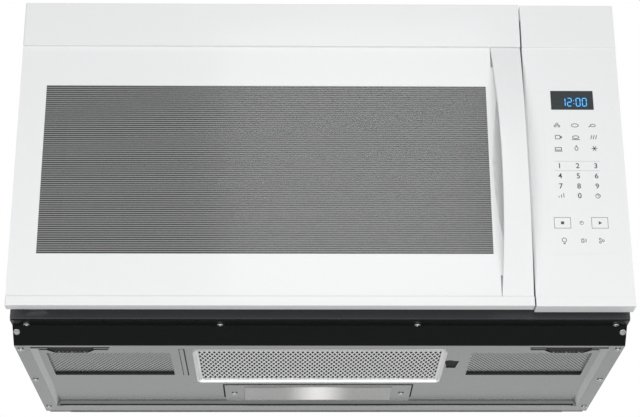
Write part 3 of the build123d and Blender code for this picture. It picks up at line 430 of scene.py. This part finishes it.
# ---------------------------------------------------------------- what a user would change
class OvenSizes(bpy.types.PropertyGroup):
    moulding_edge: bpy.props.FloatProperty(
        name="Moulding edge", description="Rounding of the white mouldings' edges, mm", default=1.4, min=0.2)
    sheet_edge: bpy.props.FloatProperty(
        name="Sheet edge", description="Rounding of folded sheet edges, mm", default=0.45, min=0.1)
    hole_pitch: bpy.props.FloatProperty(
        name="Hole pitch", description="Pitch of the vent perforation, mm", default=5.2, min=3.0)
    strand_pitch: bpy.props.FloatProperty(
        name="Strand pitch", description="Pitch of the filter's strands, mm", default=5.8, min=3.0)
    numeral_height: bpy.props.FloatProperty(
        name="Numeral height", description="Height of the printed numbers, mm", default=7.2, min=3.0)


class OvenColours(bpy.types.PropertyGroup):
    moulding: bpy.props.FloatVectorProperty(
        name="Mouldings", description="White of the door and the panel", subtype="COLOR",
        default=(0.83, 0.84, 0.84))
    sheet_steel: bpy.props.FloatVectorProperty(
        name="Sheet steel", description="Zinc-coated sheet", subtype="COLOR",
        default=(0.355, 0.36, 0.36))
    line_dark: bpy.props.FloatVectorProperty(
        name="Window, dark", description="Glass between the printed lines", subtype="COLOR",
        default=(0.036, 0.037, 0.037))
    line_light: bpy.props.FloatVectorProperty(
        name="Window, light", description="Printed window lines", subtype="COLOR",
        default=(0.225, 0.227, 0.227))
    line_pitch: bpy.props.FloatProperty(
        name="Line pitch", description="Pitch of the window's lines, mm", default=2.85, min=0.5)
    clock: bpy.props.FloatVectorProperty(
        name="Clock", description="Lit clock digits", subtype="COLOR", default=(0.04, 0.39, 0.92))
    lens_glow: bpy.props.FloatProperty(
        name="Lens glow", description="Brightness of the worktop light's middle", default=0.45, min=0.0)


# ---------------------------------------------------------------- frame nodes and their skins
class OVEN_OT_finishes(bpy.types.Operator):
    """Gives every CAD node the finish of its material slot"""

    bl_idname = "oven.finishes"
    bl_label = "Finishes"

    def execute(self, context):
        MATERIALS.update(finishes(context.scene.oven_colours))
        for node, piece in NODES.items():
            dress(piece, MATERIALS[SLOT_OF[node]])
        return {"FINISHED"}


class OVEN_OT_mouldings(bpy.types.Operator):
    """Rounds the edges of the white door front, grip bar and control panel"""

    bl_idname = "oven.mouldings"
    bl_label = "White mouldings"

    def execute(self, context):
        edge = context.scene.oven_sizes.moulding_edge
        softened("door_bezel", edge, segments=3)
        softened("door_grip", edge, segments=3)
        softened("control_fascia", edge, segments=3)
        return {"FINISHED"}


class OVEN_OT_sheets(bpy.types.Operator):
    """Rounds the folds of the sheet pieces, opens the underside's gaps, slits and slots, and puts dark sheets
    of painted shade behind them and along two edges
    """

    bl_idname = "oven.sheets"
    bl_label = "Folded sheets"

    sheets = ("base_plate", "front_valance", "light_cover", "cabinet_wrap", "front_frame", "filter_frame",
              "door_tray", "choke_panel", "choke_cover", "oven_cavity")
    corner_r = {"filter_frame": 7.0}

    # heights of a cut through the raised floor, and of a dark sheet just above it, painted shade behind the
    # cuts
    plate_z = (5, 8)
    shade_backing_z = (7.6, 8.2)

    # the gap round the light cover, how far its sides stop short of the rear, and the reach of the painted
    # shade behind it
    light_gap = 2.2
    gap_stop = 14
    gap_shade_backing_x = (-2, 4)
    gap_shade_backing_y = (-5, 1)
    gap_shade_backing_stop = 10

    # a dark strip along the lens's rear edge: painted shade for the shadow gap there
    lens_shade_inset = 6
    lens_shade_y = (-1.8, 0.8)
    lens_shade_z = (4.62, 4.9)

    # the bead left of the filter: two slits, and a third across their rear ends, with painted shade behind
    # them
    bead_x = (-178.2, -170.8)
    bead_y = (-272.0, -156.0)
    bead_slit = 1.0
    bead_shade_backing = ((-184.0, -166.0), (-276.0, -148.0), shade_backing_z)

    # the right front slot, whose middle runs further back and narrows, and the dark sheets of painted shade
    # behind it
    slot = ((266.0, 353.0), (-279.0, -264.5), plate_z)
    slot_middle = ((283.0, 345.0), (-265.0, -253.2), plate_z)
    slot_rear = 0.66
    slot_shade_backing = ((260.0, 362.0), (-299.5, -252.8), shade_backing_z)
    flange_shade_backing = ((260.0, 362.0), (-299.5, -289.6), (1.3, 2.0))

    # the finger notch beside the filter, along Y about the filter's middle, with painted shade behind it
    notch_x = (163.0, 180.0)
    notch_y = (-5, 25)
    notch_rear = 0.7
    notch_shade_backing_x = (156.0, 184.0)
    notch_shade_backing_y = (-12, 34)

    # the slit at the rear fold, the painted shade behind it, and a dark strip of painted shade along the rear
    # lower edge
    fold = ((-356.5, 356.5), (-30.6, -27.4), (-1, 3.2))
    fold_shade_backing = ((-357.0, 357.0), (-27.0, -26.2), (1.3, 6.5))
    rear_shade_line = ((-374.0, 374.0), (-3.1, -0.3), (-0.35, -0.05))

    def openings(self, light_low, light_high, filter_y):
        """The cuts in the base plate: two corners each, and the share of its width that a rear keeps."""
        end, front, rear = light_high[0], light_low[1], light_high[1]
        gap, slit, z = self.light_gap, self.bead_slit, self.plate_z
        first, last = self.bead_x
        cuts = [space(side, VENT_Y, z) for side in VENT_SIDES]
        cuts.append(space((-end - gap, end + gap), (front - gap, front), z))
        cuts += both_sides((end, end + gap), (front - gap, rear - self.gap_stop), z)
        cuts += [space(xs, self.bead_y, z) for xs in ((first, first + slit), (last - slit, last))]
        cuts.append(space(self.bead_x, about(self.bead_y[1], (-slit / 2, slit / 2)), z))
        for whole, middle in zip(both_sides(*self.slot), both_sides(*self.slot_middle)):
            cuts += [whole, (*middle, self.slot_rear)]
        cuts.append(space(*self.fold))
        cuts.append((*space(self.notch_x, about(filter_y, self.notch_y), z), self.notch_rear))
        return cuts

    def shade_backings(self, light_low, light_high, lens_high, filter_y):
        """Dark sheets of painted shade: behind the openings, along the lens's rear edge and along the rear
        lower edge.
        """
        end, front, rear = light_high[0], light_low[1], light_high[1]
        near, far = self.gap_shade_backing_x
        side_y = (front + self.gap_shade_backing_y[0], rear - self.gap_shade_backing_stop)
        lens_x = lens_high[0] - self.lens_shade_inset
        spaces = [space((-end - far, end + far), about(front, self.gap_shade_backing_y), self.shade_backing_z)]
        spaces += both_sides((end + near, end + far), side_y, self.shade_backing_z)
        spaces.append(space((-lens_x, lens_x), about(lens_high[1], self.lens_shade_y), self.lens_shade_z))
        spaces.append(space(*self.bead_shade_backing))
        for flange, slot in zip(both_sides(*self.flange_shade_backing), both_sides(*self.slot_shade_backing)):
            spaces += [flange, slot]
        spaces.append(space(self.notch_shade_backing_x, about(filter_y, self.notch_shade_backing_y), self.shade_backing_z))
        spaces += [space(*self.fold_shade_backing), space(*self.rear_shade_line)]
        return spaces

    def execute(self, context):
        edge = context.scene.oven_sizes.sheet_edge
        light_low, light_high = in_mm(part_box("light_cover"))
        lens_high = in_mm(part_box("light_lens"))[1]
        filter_y = (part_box("filter_frame")[0].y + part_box("filter_frame")[1].y) / 2 / MM
        cuts = {"base_plate": self.openings(light_low, light_high, filter_y)}
        for node in self.sheets:
            softened(node, edge, cuts=cuts.get(node, ()), corner=self.corner_r.get(node, 0))
        # painted shade: dark sheets behind the openings, along the lens's rear edge and along the rear lower
        # edge
        shade_backing("underside_shade_backing", self.shade_backings(light_low, light_high, lens_high, filter_y))
        return {"FINISHED"}


class OVEN_OT_turning_plate(bpy.types.Operator):
    """Smooths the glass tray, its ring, rollers and coupler"""

    bl_idname = "oven.turning_plate"
    bl_label = "Turning plate"

    tray_edge = 0.8
    plastic_edge = 0.3

    def execute(self, context):
        softened("glass_tray", self.tray_edge, segments=3)
        for node in ("roller_ring", "roller_1", "roller_2", "roller_3", "turntable_coupler"):
            softened(node, self.plastic_edge)
        return {"FINISHED"}


# ---------------------------------------------------------------- underside
class OVEN_OT_vent_fields(bpy.types.Operator):
    """Shallow perforated pans in the two vent fields, with painted shade: dark sheets for their rear walls
    and the air space above them
    """

    bl_idname = "oven.vent_fields"
    bl_label = "Vent fields"

    # the sheet, and shares of the pitch: between rows, half a web, and past a hole's corners
    thickness = 0.45
    row_share = 0.866
    web_share = 0.25
    corner_share = 0.3

    # the pan's side walls; a dark sheet for its rear wall and one for the air space over it, which laps past
    # its rim, both painted shade
    wall_t = 0.5
    wall_z = (7.2, PAN_Z + 0.3)
    rear_inset = 0.2
    rear_y = (-0.4, 0.1)
    rear_z = (6.0, PAN_Z + 0.3)
    air_lap = (-6, 8)
    air_z = (PAN_Z + 1.6, PAN_Z + 2.2)

    def row(self, name, corner, pitch, count):
        """One row of round holes, each in its own cell."""
        deselect()
        bpy.ops.mesh.primitive_plane_add(size=pitch * MM, location=corner)
        cell = added(name)
        cell.scale = (1, self.row_share, 1)
        place_in_mesh(cell)
        bpy.ops.object.mode_set(mode="EDIT")
        bpy.ops.mesh.select_all(action="SELECT")
        bpy.ops.mesh.inset(thickness=pitch * self.web_share * MM)
        bpy.ops.mesh.delete(type="FACE")
        bpy.ops.object.mode_set(mode="OBJECT")
        reach = pitch * self.corner_share * MM
        pick(cell, lambda p: abs(p.x - corner.x) < reach and abs(p.y - corner.y) < reach)
        bpy.ops.mesh.subdivide(number_cuts=1)
        bpy.ops.transform.tosphere(value=1.0)
        bpy.ops.object.mode_set(mode="OBJECT")
        repeated(cell, count, (pitch * MM, 0, 0), use_merge_vertices=True, merge_threshold=0.01 * MM)
        return cell

    def perforated(self, name, x0, x1, pitch):
        """Staggered rows that fill the pan's floor and run a little under its rim."""
        depth = pitch * self.row_share
        columns = math.ceil((x1 - x0) / pitch) + 1
        pairs = math.ceil((VENT_Y[1] - VENT_Y[0]) / (2 * depth)) + 1
        first = Vector((x0 * MM, VENT_Y[0] * MM, PAN_Z * MM))
        shift = Vector((pitch / 2 * MM, depth * MM, 0))
        grid = joined([self.row("row", corner, pitch, columns) for corner in (first, first + shift)], name)
        repeated(grid, pairs, (0, 2 * depth * MM, 0))
        apply_modifier(grid, "SOLIDIFY", thickness=self.thickness * MM, offset=1)
        return grid

    def execute(self, context):
        pitch = context.scene.oven_sizes.hole_pitch
        y0, y1 = VENT_Y
        rims = []
        backs = []
        for x0, x1 in VENT_SIDES:
            grid = self.perforated("grid", x0, x1, pitch)
            wall_y = (y0 - self.wall_t, y1 + self.wall_t)
            walls = [slab("wall", *space((x - self.wall_t, x), wall_y, self.wall_z))
                     for x in (x0, x1 + self.wall_t)]
            rims.append(joined([grid] + walls, "rim"))
            before, after = self.air_lap
            rear_x = (x0 + self.rear_inset, x1 - self.rear_inset)
            backs.append(space(rear_x, about(y1, self.rear_y), self.rear_z))
            backs.append(space((x0 + before, x1 + after), (y0 + before, y1 + after), self.air_z))
        pans = dress(joined(rims, "vent_pans"), MATERIALS["zinc_sheet"])
        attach(pans, "cabinet")
        # painted shade: dark sheets for the pans' rear walls and the air space above them
        shade_backing("vent_shade_backing", backs)
        return {"FINISHED"}


class OVEN_OT_filter_weave(bpy.types.Operator):
    """Layers of crossing alloy strands that stand for the filter's mesh"""

    bl_idname = "oven.filter_weave"
    bl_label = "Filter weave"

    strand_w = 2.0
    strand_t = 0.4
    strand_edge = 0.15
    slant = math.radians(69)

    # the layers' heights over the mesh's underside, and the height of a dark sheet above them, painted shade
    # for the space behind the mesh
    first_layer = 0.25
    layer_step = 0.42
    shade_backing_z = (4.7, 4.95)

    def family(self, low, high, angle, z, pitch):
        """Parallel strands at one angle, cut off at the filter's edges."""
        centre = (low + high) / 2
        reach = (high - low).length
        count = math.ceil(reach / (pitch * MM))
        strands = cube("strands", (0, -(count - 1) / 2 * pitch * MM, 0),
                       (reach, self.strand_w * MM, self.strand_t * MM))
        apply_modifier(strands, "BEVEL", width=self.strand_edge * MM, segments=1)
        repeated(strands, count, (0, pitch * MM, 0))
        strands.rotation_euler = (0, 0, angle)
        strands.location = (centre.x, centre.y, z)
        place_in_mesh(strands)
        bpy.ops.object.mode_set(mode="EDIT")
        for point, normal in ((low, (-1, 0, 0)), (high, (1, 0, 0)), (low, (0, -1, 0)), (high, (0, 1, 0))):
            bpy.ops.mesh.select_all(action="SELECT")
            bpy.ops.mesh.bisect(plane_co=point, plane_no=normal, use_fill=True, clear_outer=True)
        bpy.ops.object.mode_set(mode="OBJECT")
        return strands

    def execute(self, context):
        low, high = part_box("filter_mesh")
        pitch = context.scene.oven_sizes.strand_pitch
        layers = []
        for level, sign in enumerate((-1, 1)):
            z = low.z + (self.first_layer + self.layer_step * level) * MM
            layers.append(self.family(low, high, sign * self.slant, z, pitch))
        weave = dress(joined(layers, "filter_weave"), MATERIALS["filter_alloy"])
        xs, ys, _ = zip(*in_mm((low, high)))
        # painted shade: a dark sheet behind the strands
        shade_backing("filter_shade_backing", [space(xs, ys, self.shade_backing_z)], "filter")
        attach(weave, "filter")
        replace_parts(weave, "filter_mesh")
        return {"FINISHED"}


class OVEN_OT_screws(bpy.types.Operator):
    """Cross-recessed pan heads in place of the plain CAD screws"""

    bl_idname = "oven.screws"
    bl_label = "Screws"

    head_r = 4.0
    head_h = 1.6
    head_edge = 0.55
    recess = (4.6, 1.3, 1.8)

    # on the side flanges: in from the side, and from the front, the middle and the rear
    flange_inset = 6.5
    flange_y = (14, -4, -22)

    # the rail: its sheet, its lip's depth under the ledge, and its slant's run and rise
    sheet = 1.2
    lip = 21.0
    run, rise = 20.0, 19.3
    ledge_x = (-361.0, -123.5, 119.0, 364.0)
    ledge_inset = 5.5
    # the end screws: in from the side, and the share of the way down the slant
    end_inset = 5
    end_share = 0.32

    # either side of the light
    light_x = 113.5

    def model(self):
        """One head at the origin, facing down, seated at Z 0."""
        deselect()
        bpy.ops.mesh.primitive_cylinder_add(vertices=28, radius=self.head_r * MM, depth=self.head_h * MM,
                                            location=(0, 0, -self.head_h / 2 * MM))
        head = place_in_mesh(added("screw_model"))
        apply_modifier(head, "BEVEL", width=self.head_edge * MM, segments=3, limit_method="ANGLE")
        for angle in (0, math.radians(90)):
            cutter = cube("cutter", (0, 0, -self.head_h * MM), [side * MM for side in self.recess], angle)
            apply_modifier(head, "BOOLEAN", operation="DIFFERENCE", object=cutter, solver="EXACT")
            bpy.data.objects.remove(cutter)
        select_only(head)
        bpy.ops.object.shade_smooth_by_angle(angle=SHARP)
        return head

    def copies(self, model, places, name):
        parts = []
        for point, tilt in places:
            part = bpy.data.objects.new("head", model.data.copy())
            bpy.context.scene.collection.objects.link(part)
            part.matrix_world = Matrix.Translation(point) @ Matrix.Rotation(tilt, 4, "X")
            parts.append(place_in_mesh(part))
        piece = dress(joined(parts, name), MATERIALS["screw"])
        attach(piece, "cabinet")
        return piece

    def underside_places(self):
        """Seat and tilt of the heads on the side flanges, the rail's ledge and its slanted front."""
        base_low, base_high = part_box("base_plate")
        lip_low, lip_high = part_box("front_valance")
        front, middle, rear = self.flange_y
        flange_x = base_high.x - self.flange_inset * MM
        flange_y = (base_low.y + front * MM, (base_low.y + base_high.y) / 2 + middle * MM,
                    base_high.y + rear * MM)
        ledge_y = lip_low.y + (self.lip - self.ledge_inset) * MM
        under_ledge = lip_high.z - self.sheet * MM
        places = [(Vector((s * flange_x, y, 0)), 0.0) for s in (-1, 1) for y in flange_y]
        places += [(Vector((x * MM, ledge_y, under_ledge)), 0.0) for x in self.ledge_x]
        slope = math.hypot(self.run, self.rise)
        behind = self.end_share * self.run - self.sheet * self.rise / slope
        below = self.end_share * self.rise + self.sheet * self.run / slope
        for s in (-1, 1):
            point = Vector((s * (base_high.x - self.end_inset * MM), lip_low.y + self.lip * MM + behind * MM,
                            lip_high.z - below * MM))
            places.append((point, -math.atan2(self.rise, self.run)))
        return places

    def light_places(self):
        """Seat and tilt of the two heads beside the light."""
        light_low, light_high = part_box("light_screws")
        middle = (light_low.y + light_high.y) / 2
        seat = light_low.z + self.head_h * MM
        return [(Vector((s * self.light_x * MM, middle, seat)), 0.0) for s in (-1, 1)]

    def execute(self, context):
        model = self.model()
        places = self.underside_places()
        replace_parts(self.copies(model, places, "underside_screw_heads"), "underside_screws")
        lamp_places = self.light_places()
        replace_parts(self.copies(model, lamp_places, "light_screw_heads"), "light_screws")
        bpy.data.objects.remove(model)
        return {"FINISHED"}


# ---------------------------------------------------------------- control panel
class OVEN_OT_clock(bpy.types.Operator):
    """Lit seven-segment digits on the face of the display window"""

    bl_idname = "oven.clock"
    bl_label = "Clock"

    SEGMENTS = {"0": "abcdef", "1": "bc", "2": "abged"}
    digit_w = 5.0
    digit_h = 11.0
    stroke = 1.15
    bar_t = 0.12
    proud = 0.05

    # what it shows and where, with the dots' heights from the middle, mm
    shown = "1200"
    digit_x = (308.0, 316.0, 327.0, 335.0)
    colon_x = 321.5
    colon_z = (-2.2, 2.2)
    middle_z = 299

    def bar(self, x, z, length, upright, y):
        """A six-sided bar with pointed ends, level or upright."""
        deselect()
        bpy.ops.mesh.primitive_cylinder_add(vertices=6, radius=self.stroke / 2 * MM, depth=self.bar_t * MM,
                                            rotation=(UPRIGHT, 0, 0))
        piece = place_in_mesh(added("bar"))
        half = (length - self.stroke) / 2 * MM
        for sign in (-1, 1):
            pick(piece, lambda p: sign * p.x > 1e-6)
            bpy.ops.transform.translate(value=(sign * half, 0, 0))
            bpy.ops.object.mode_set(mode="OBJECT")
        piece.rotation_euler = (0, UPRIGHT if upright else 0, 0)
        piece.location = (x, y, z)
        return place_in_mesh(piece)

    def digit(self, number, x, z, y):
        w, h = self.digit_w * MM, self.digit_h * MM
        # bars a little shorter than their grid, so that gaps show between them
        level, tall = self.digit_w - 0.5, self.digit_h / 2 - 0.4
        spots = {"a": (0, h / 2, level, False), "g": (0, 0, level, False), "d": (0, -h / 2, level, False),
                 "b": (w / 2, h / 4, tall, True), "c": (w / 2, -h / 4, tall, True),
                 "e": (-w / 2, -h / 4, tall, True), "f": (-w / 2, h / 4, tall, True)}
        return [self.bar(x + spots[k][0], z + spots[k][1], spots[k][2], spots[k][3], y)
                for k in self.SEGMENTS[number]]

    def execute(self, context):
        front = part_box("display_window")[0].y - self.proud * MM
        z = self.middle_z * MM
        parts = []
        for number, x in zip(self.shown, self.digit_x):
            parts += self.digit(number, x * MM, z, front)
        for dz in self.colon_z:
            parts.append(self.bar(self.colon_x * MM, z + dz * MM, self.stroke + 0.1, False, front))
        piece = dress(joined(parts, "clock_digits"), MATERIALS["clock_blue"])
        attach(piece, "cabinet")
        return {"FINISHED"}


class OVEN_OT_legends(bpy.types.Operator):
    """Printed numbers and plain pictograms on the keypad film"""

    bl_idname = "oven.legends"
    bl_label = "Key legends"

    # the keys' columns and rows, mm
    columns = (298.2, 320.9, 343.6)
    number_rows = ((210.5, "123"), (196.7, "456"), (182.9, "789"))
    zero_z = 169.9
    preset_rows = (266.5, 250.1, 234.5)
    icon_z = 110.4

    # the two rules, and the outlined boxes with their shifts from the outer columns
    rule_x, rule_length, rule_width = 320.2, 57.0, 0.22
    rule_z = (217.0, 204.0)
    box_w = 20.6
    box_z = (126.6, 141.2)
    box_shift = (-0.9, -0.2)

    # strokes, how far the print stands off the film, and a font's size for its numerals' height
    bold = 0.12
    line = 0.55
    proud = 0.01
    font_share = 1.35

    def number(self, body, x, z, height):
        deselect()
        bpy.ops.object.text_add(rotation=(UPRIGHT, 0, 0), location=(x * MM, self.y, z * MM))
        text = bpy.context.object
        text.data.body = body
        text.data.size = height * MM * self.font_share
        text.data.align_x = "CENTER"
        text.data.align_y = "CENTER"
        text.data.resolution_u = 4
        text.data.offset = self.bold * MM
        bpy.ops.object.convert(target="MESH")
        return place_in_mesh(added("number"))

    def loop(self, x, z, width, height, sides=24, turn=0.0):
        """A thin closed outline."""
        deselect()
        bpy.ops.mesh.primitive_circle_add(vertices=sides, radius=0.5, fill_type="NGON",
                                          rotation=(UPRIGHT, turn, 0), location=(0, 0, 0))
        piece = place_in_mesh(added("loop"))
        # a square's sides lie nearer its middle than its corners do
        grow = 1 / math.cos(math.pi / sides) if sides == 4 else 1
        piece.scale = (width * MM * grow, 1, height * MM * grow)
        piece.location = (x * MM, self.y, z * MM)
        place_in_mesh(piece)
        bpy.ops.object.mode_set(mode="EDIT")
        bpy.ops.mesh.select_all(action="SELECT")
        bpy.ops.mesh.inset(thickness=self.line * MM)
        bpy.ops.mesh.delete(type="FACE")
        bpy.ops.object.mode_set(mode="OBJECT")
        return piece

    def dash(self, x, z, length, turn=0.0, width=0.6):
        """A short filled stroke."""
        deselect()
        bpy.ops.mesh.primitive_plane_add(size=1, rotation=(UPRIGHT, 0, 0))
        piece = place_in_mesh(added("dash"))
        piece.scale = (length * MM, 1, width * MM)
        place_in_mesh(piece)
        piece.rotation_euler = (0, turn, 0)
        piece.location = (x * MM, self.y, z * MM)
        return place_in_mesh(piece)

    def patch(self, x, z, size, sides, turn):
        """A filled regular shape."""
        deselect()
        bpy.ops.mesh.primitive_circle_add(vertices=sides, radius=size / 2 * MM, fill_type="NGON",
                                          rotation=(UPRIGHT, turn, 0), location=(x * MM, self.y, z * MM))
        return place_in_mesh(added("patch"))

    def enlarged(self, parts, x, z, factor):
        """Grows a pictogram about its own middle."""
        for part in parts:
            part.scale = (factor, 1, factor)
            part.location = (x * (1 - factor) * MM, 0, z * (1 - factor) * MM)
            place_in_mesh(part)
        return parts

    def preset(self, index, x, z):
        """One of the nine plain pictograms of the quick-cook keys."""
        if index == 0:
            spots = ((-1.5, -0.6), (1.5, -0.6), (0, 1.2))
            return [self.loop(x + dx, z + dz, 2.2, 2.2, 12) for dx, dz in spots]
        if index == 1:
            return [self.loop(x, z, 6.0, 3.4)]
        if index == 2:
            return [self.loop(x, z, 4.6, 2.8, 12), self.dash(x - 2.9, z - 1.0, 1.8, -0.5)]
        if index == 3:
            return [self.loop(x, z, 4.2, 3.6, 4, SQUARE), self.loop(x + 2.7, z, 1.5, 1.9, 12)]
        if index == 4:
            return [self.loop(x, z, 5.6, 3.0), self.dash(x, z - 2.1, 6.4)]
        if index == 5:
            return [self.dash(x + dx, z, 3.6, UPRIGHT + 0.25) for dx in (-1.9, 0, 1.9)]
        if index == 6:
            return [self.loop(x, z - 0.3, 5.4, 2.6, 4, SQUARE), self.dash(x, z - 2.3, 6.2)]
        if index == 7:
            return [self.loop(x, z, 3.0, 3.8, 12), self.dash(x, z + 2.4, 1.3, UPRIGHT)]
        return [self.dash(x, z, 4.6, i * math.pi / 3) for i in range(3)]

    def presets(self):
        parts = []
        for row, z in enumerate(self.preset_rows):
            for column, x in enumerate(self.columns):
                pictogram = self.preset(row * len(self.columns) + column, x, z)
                parts += self.enlarged(pictogram, x, z, factor=1.6)
        return parts

    def numbers(self, height):
        parts = []
        for z, row in self.number_rows:
            parts += [self.number(n, x, z, height) for n, x in zip(row, self.columns)]
        return parts + [self.number("0", self.columns[1], self.zero_z, height)]

    def beside_zero(self):
        """Power level as rising bars, and cook time as a dial."""
        left, _, right = self.columns
        z = self.zero_z
        heights = ((-2, 1.4), (0, 2.6), (2, 3.8))
        bars = [self.dash(left + dx, z - 1.4 + h / 2, h, UPRIGHT) for dx, h in heights]
        parts = self.enlarged(bars, left, z, factor=1.5)
        dial = [self.loop(right, z, 4.6, 4.6), self.dash(right, z + 0.9, 1.6, UPRIGHT),
                self.dash(right + 0.7, z, 1.4)]
        return parts + self.enlarged(dial, right, z, factor=1.4)

    def stop_and_start(self):
        """A square and a triangle in outlined boxes, with the clock setting's dial between them."""
        left, middle, right = self.columns
        stop_x, start_x = left + self.box_shift[0], right + self.box_shift[1]
        low_z, high_z = self.box_z
        z, height = (low_z + high_z) / 2, high_z - low_z
        parts = [self.loop(x, z, self.box_w, height, 4, SQUARE) for x in (stop_x, start_x)]
        parts += [self.patch(stop_x, z, 5.4, 4, SQUARE), self.patch(start_x, z, 5.6, 3, UPRIGHT)]
        parts += [self.loop(middle, z, 5.0, 5.0), self.dash(middle, z + 1.0, 1.8, UPRIGHT),
                  self.dash(middle - 0.8, z, 1.6)]
        return parts

    def bottom_row(self):
        """Lamp, sound and fan."""
        left, middle, right = self.columns
        z = self.icon_z
        bulb = [self.loop(left, z + 0.6, 4.4, 4.4), self.dash(left, z - 2.3, 2.2),
                self.dash(left, z - 3.0, 1.5)]
        parts = self.enlarged(bulb, left, z, factor=1.4)
        sound = [self.loop(middle, z, 2.2, 3.2, 4, SQUARE), self.dash(middle + 2.4, z, 2.8, UPRIGHT)]
        parts += self.enlarged(sound, middle, z, factor=1.6)
        for i in range(3):
            turn = i * 2 * math.pi / 3
            blade = self.loop(right + 1.7 * math.cos(turn), z + 1.7 * math.sin(turn), 2.4, 2.4, 12)
            parts += self.enlarged([blade], right, z, factor=1.4)
        return parts

    def execute(self, context):
        self.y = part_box("keypad_overlay")[0].y - self.proud * MM
        parts = self.numbers(context.scene.oven_sizes.numeral_height)
        parts += self.presets()
        parts += self.beside_zero()
        parts += [self.dash(self.rule_x, z, self.rule_length, width=self.rule_width) for z in self.rule_z]
        parts += self.stop_and_start()
        parts += self.bottom_row()
        piece = dress(joined(parts, "key_legends"), MATERIALS["ink"])
        apply_modifier(piece, "SOLIDIFY", thickness=0.02 * MM, offset=0)
        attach(piece, "cabinet")
        return {"FINISHED"}


# ---------------------------------------------------------------- stage
class OVEN_OT_stage(bpy.types.Operator):
    """Pale floor, soft studio lights and the camera at the photograph's angle"""

    bl_idname = "oven.stage"
    bl_label = "Stage"

    # the photograph's camera: focal length and width in pixels, eye in mm, turns in radians
    focal_px = 1664.9
    frame_px = 640
    eye = (-35.25, -2272.2, -633.1)
    pitch, yaw, roll = 0.393, 0.018, -0.005
    sensor_mm = 36
    # height of the floor, in metres
    floor_z = -1.6

    def camera(self):
        cos_pitch, cos_yaw, sin_yaw = math.cos(self.pitch), math.cos(self.yaw), math.sin(self.yaw)
        forward = Vector((sin_yaw * cos_pitch, cos_yaw * cos_pitch, math.sin(self.pitch)))
        right = Vector((cos_yaw, -sin_yaw, 0))
        up = right.cross(forward)
        cos_roll, sin_roll = math.cos(self.roll), math.sin(self.roll)
        right, up = cos_roll * right + sin_roll * up, cos_roll * up - sin_roll * right
        bpy.ops.object.camera_add()
        camera = bpy.context.object
        camera.name = "camera"
        camera.data.sensor_width = self.sensor_mm
        camera.data.lens = self.focal_px * camera.data.sensor_width / self.frame_px
        turned = Matrix((right, up, -forward)).transposed().to_4x4()
        camera.matrix_world = Matrix.Translation(Vector(self.eye) * MM) @ turned
        bpy.context.scene.camera = camera

    def lamp(self, name, place, target, size, power):
        bpy.ops.object.light_add(type="AREA", location=place)
        light = bpy.context.object
        light.name = name
        light.data.shape = "RECTANGLE"
        light.data.size, light.data.size_y = size
        light.data.energy = power
        aim = Vector(target) - Vector(place)
        light.rotation_euler = aim.to_track_quat("-Z", "Y").to_euler()

    def surroundings(self, level):
        """A dim world for light, and a white one seen behind the oven, in its gloss and its glass."""
        world = bpy.data.worlds.new("surroundings")
        world.use_nodes = True
        tree = world.node_tree
        seen = tree.nodes["Background"]
        seen.inputs["Color"].default_value = (1, 1, 1, 1)
        seen.inputs["Strength"].default_value = 1.0
        light = tree.nodes.new("ShaderNodeBackground")
        light.inputs["Color"].default_value = (0.97, 0.985, 1, 1)
        light.inputs["Strength"].default_value = level
        path = tree.nodes.new("ShaderNodeLightPath")
        mix = tree.nodes.new("ShaderNodeMixShader")
        shown = path.outputs["Is Camera Ray"]
        for ray in ("Is Glossy Ray", "Is Transmission Ray"):
            either = tree.nodes.new("ShaderNodeMath")
            either.operation = "MAXIMUM"
            tree.links.new(shown, either.inputs[0])
            tree.links.new(path.outputs[ray], either.inputs[1])
            shown = either.outputs["Value"]
        tree.links.new(shown, mix.inputs["Fac"])
        tree.links.new(light.outputs["Background"], mix.inputs[1])
        tree.links.new(seen.outputs["Background"], mix.inputs[2])
        tree.links.new(mix.outputs["Shader"], tree.nodes["World Output"].inputs["Surface"])
        bpy.context.scene.world = world

    def execute(self, context):
        deselect()
        bpy.ops.mesh.primitive_plane_add(size=14, location=(0, 0, self.floor_z))
        floor = place_in_mesh(added("floor"))
        dress(floor, surface("pale_floor", (0.80, 0.80, 0.80), 0.8, scale=3, vary=0.01, bump=0.01))
        self.camera()
        for side in (-1, 1):
            self.lamp(f"side_{side}", place=(side * 2.1, -2.9, 0.3), target=(0, -0.3, 0.15),
                      size=(1.6, 2.0), power=26)
        self.lamp("low_front", place=(0, -1.8, -0.75), target=(0, -0.35, 0.1), size=(2.0, 0.5), power=12)
        self.lamp("window_light", place=(0.15, -3.0, 1.4), target=(0, -0.4, 0.25), size=(0.8, 0.8), power=6)
        self.lamp("rear_floor", place=(0, 4.2, 0.3), target=(0, 4.2, self.floor_z), size=(8.0, 5.0), power=80)
        self.surroundings(level=0.27)
        context.scene.view_settings.view_transform = "Standard"
        return {"FINISHED"}


class OVEN_PT_panel(bpy.types.Panel):
    """Shows the oven's sizes and colours, and a button for each step"""

    bl_idname = "OVEN_PT_panel"
    bl_label = "Over-the-range oven"
    bl_space_type = "VIEW_3D"
    bl_region_type = "UI"
    bl_category = "Oven"

    def draw(self, context):
        for group in (context.scene.oven_sizes, context.scene.oven_colours):
            for key in group.__annotations__:
                self.layout.prop(group, key)
        for step in STEPS:
            self.layout.operator(step.bl_idname)


STEPS = (OVEN_OT_finishes, OVEN_OT_mouldings, OVEN_OT_sheets, OVEN_OT_turning_plate, OVEN_OT_vent_fields,
         OVEN_OT_filter_weave, OVEN_OT_screws, OVEN_OT_clock, OVEN_OT_legends, OVEN_OT_stage)
CLASSES = (OvenSizes, OvenColours, *STEPS, OVEN_PT_panel)


def register():
    for made in CLASSES:
        bpy.utils.register_class(made)
    bpy.types.Scene.oven_sizes = bpy.props.PointerProperty(type=OvenSizes)
    bpy.types.Scene.oven_colours = bpy.props.PointerProperty(type=OvenColours)


def unregister():
    del bpy.types.Scene.oven_colours
    del bpy.types.Scene.oven_sizes
    for made in reversed(CLASSES):
        bpy.utils.unregister_class(made)


def main():
    register()
    for step in STEPS:
        group, name = step.bl_idname.split(".")
        getattr(getattr(bpy.ops, group), name)()


if __name__ == "__main__":
    main()
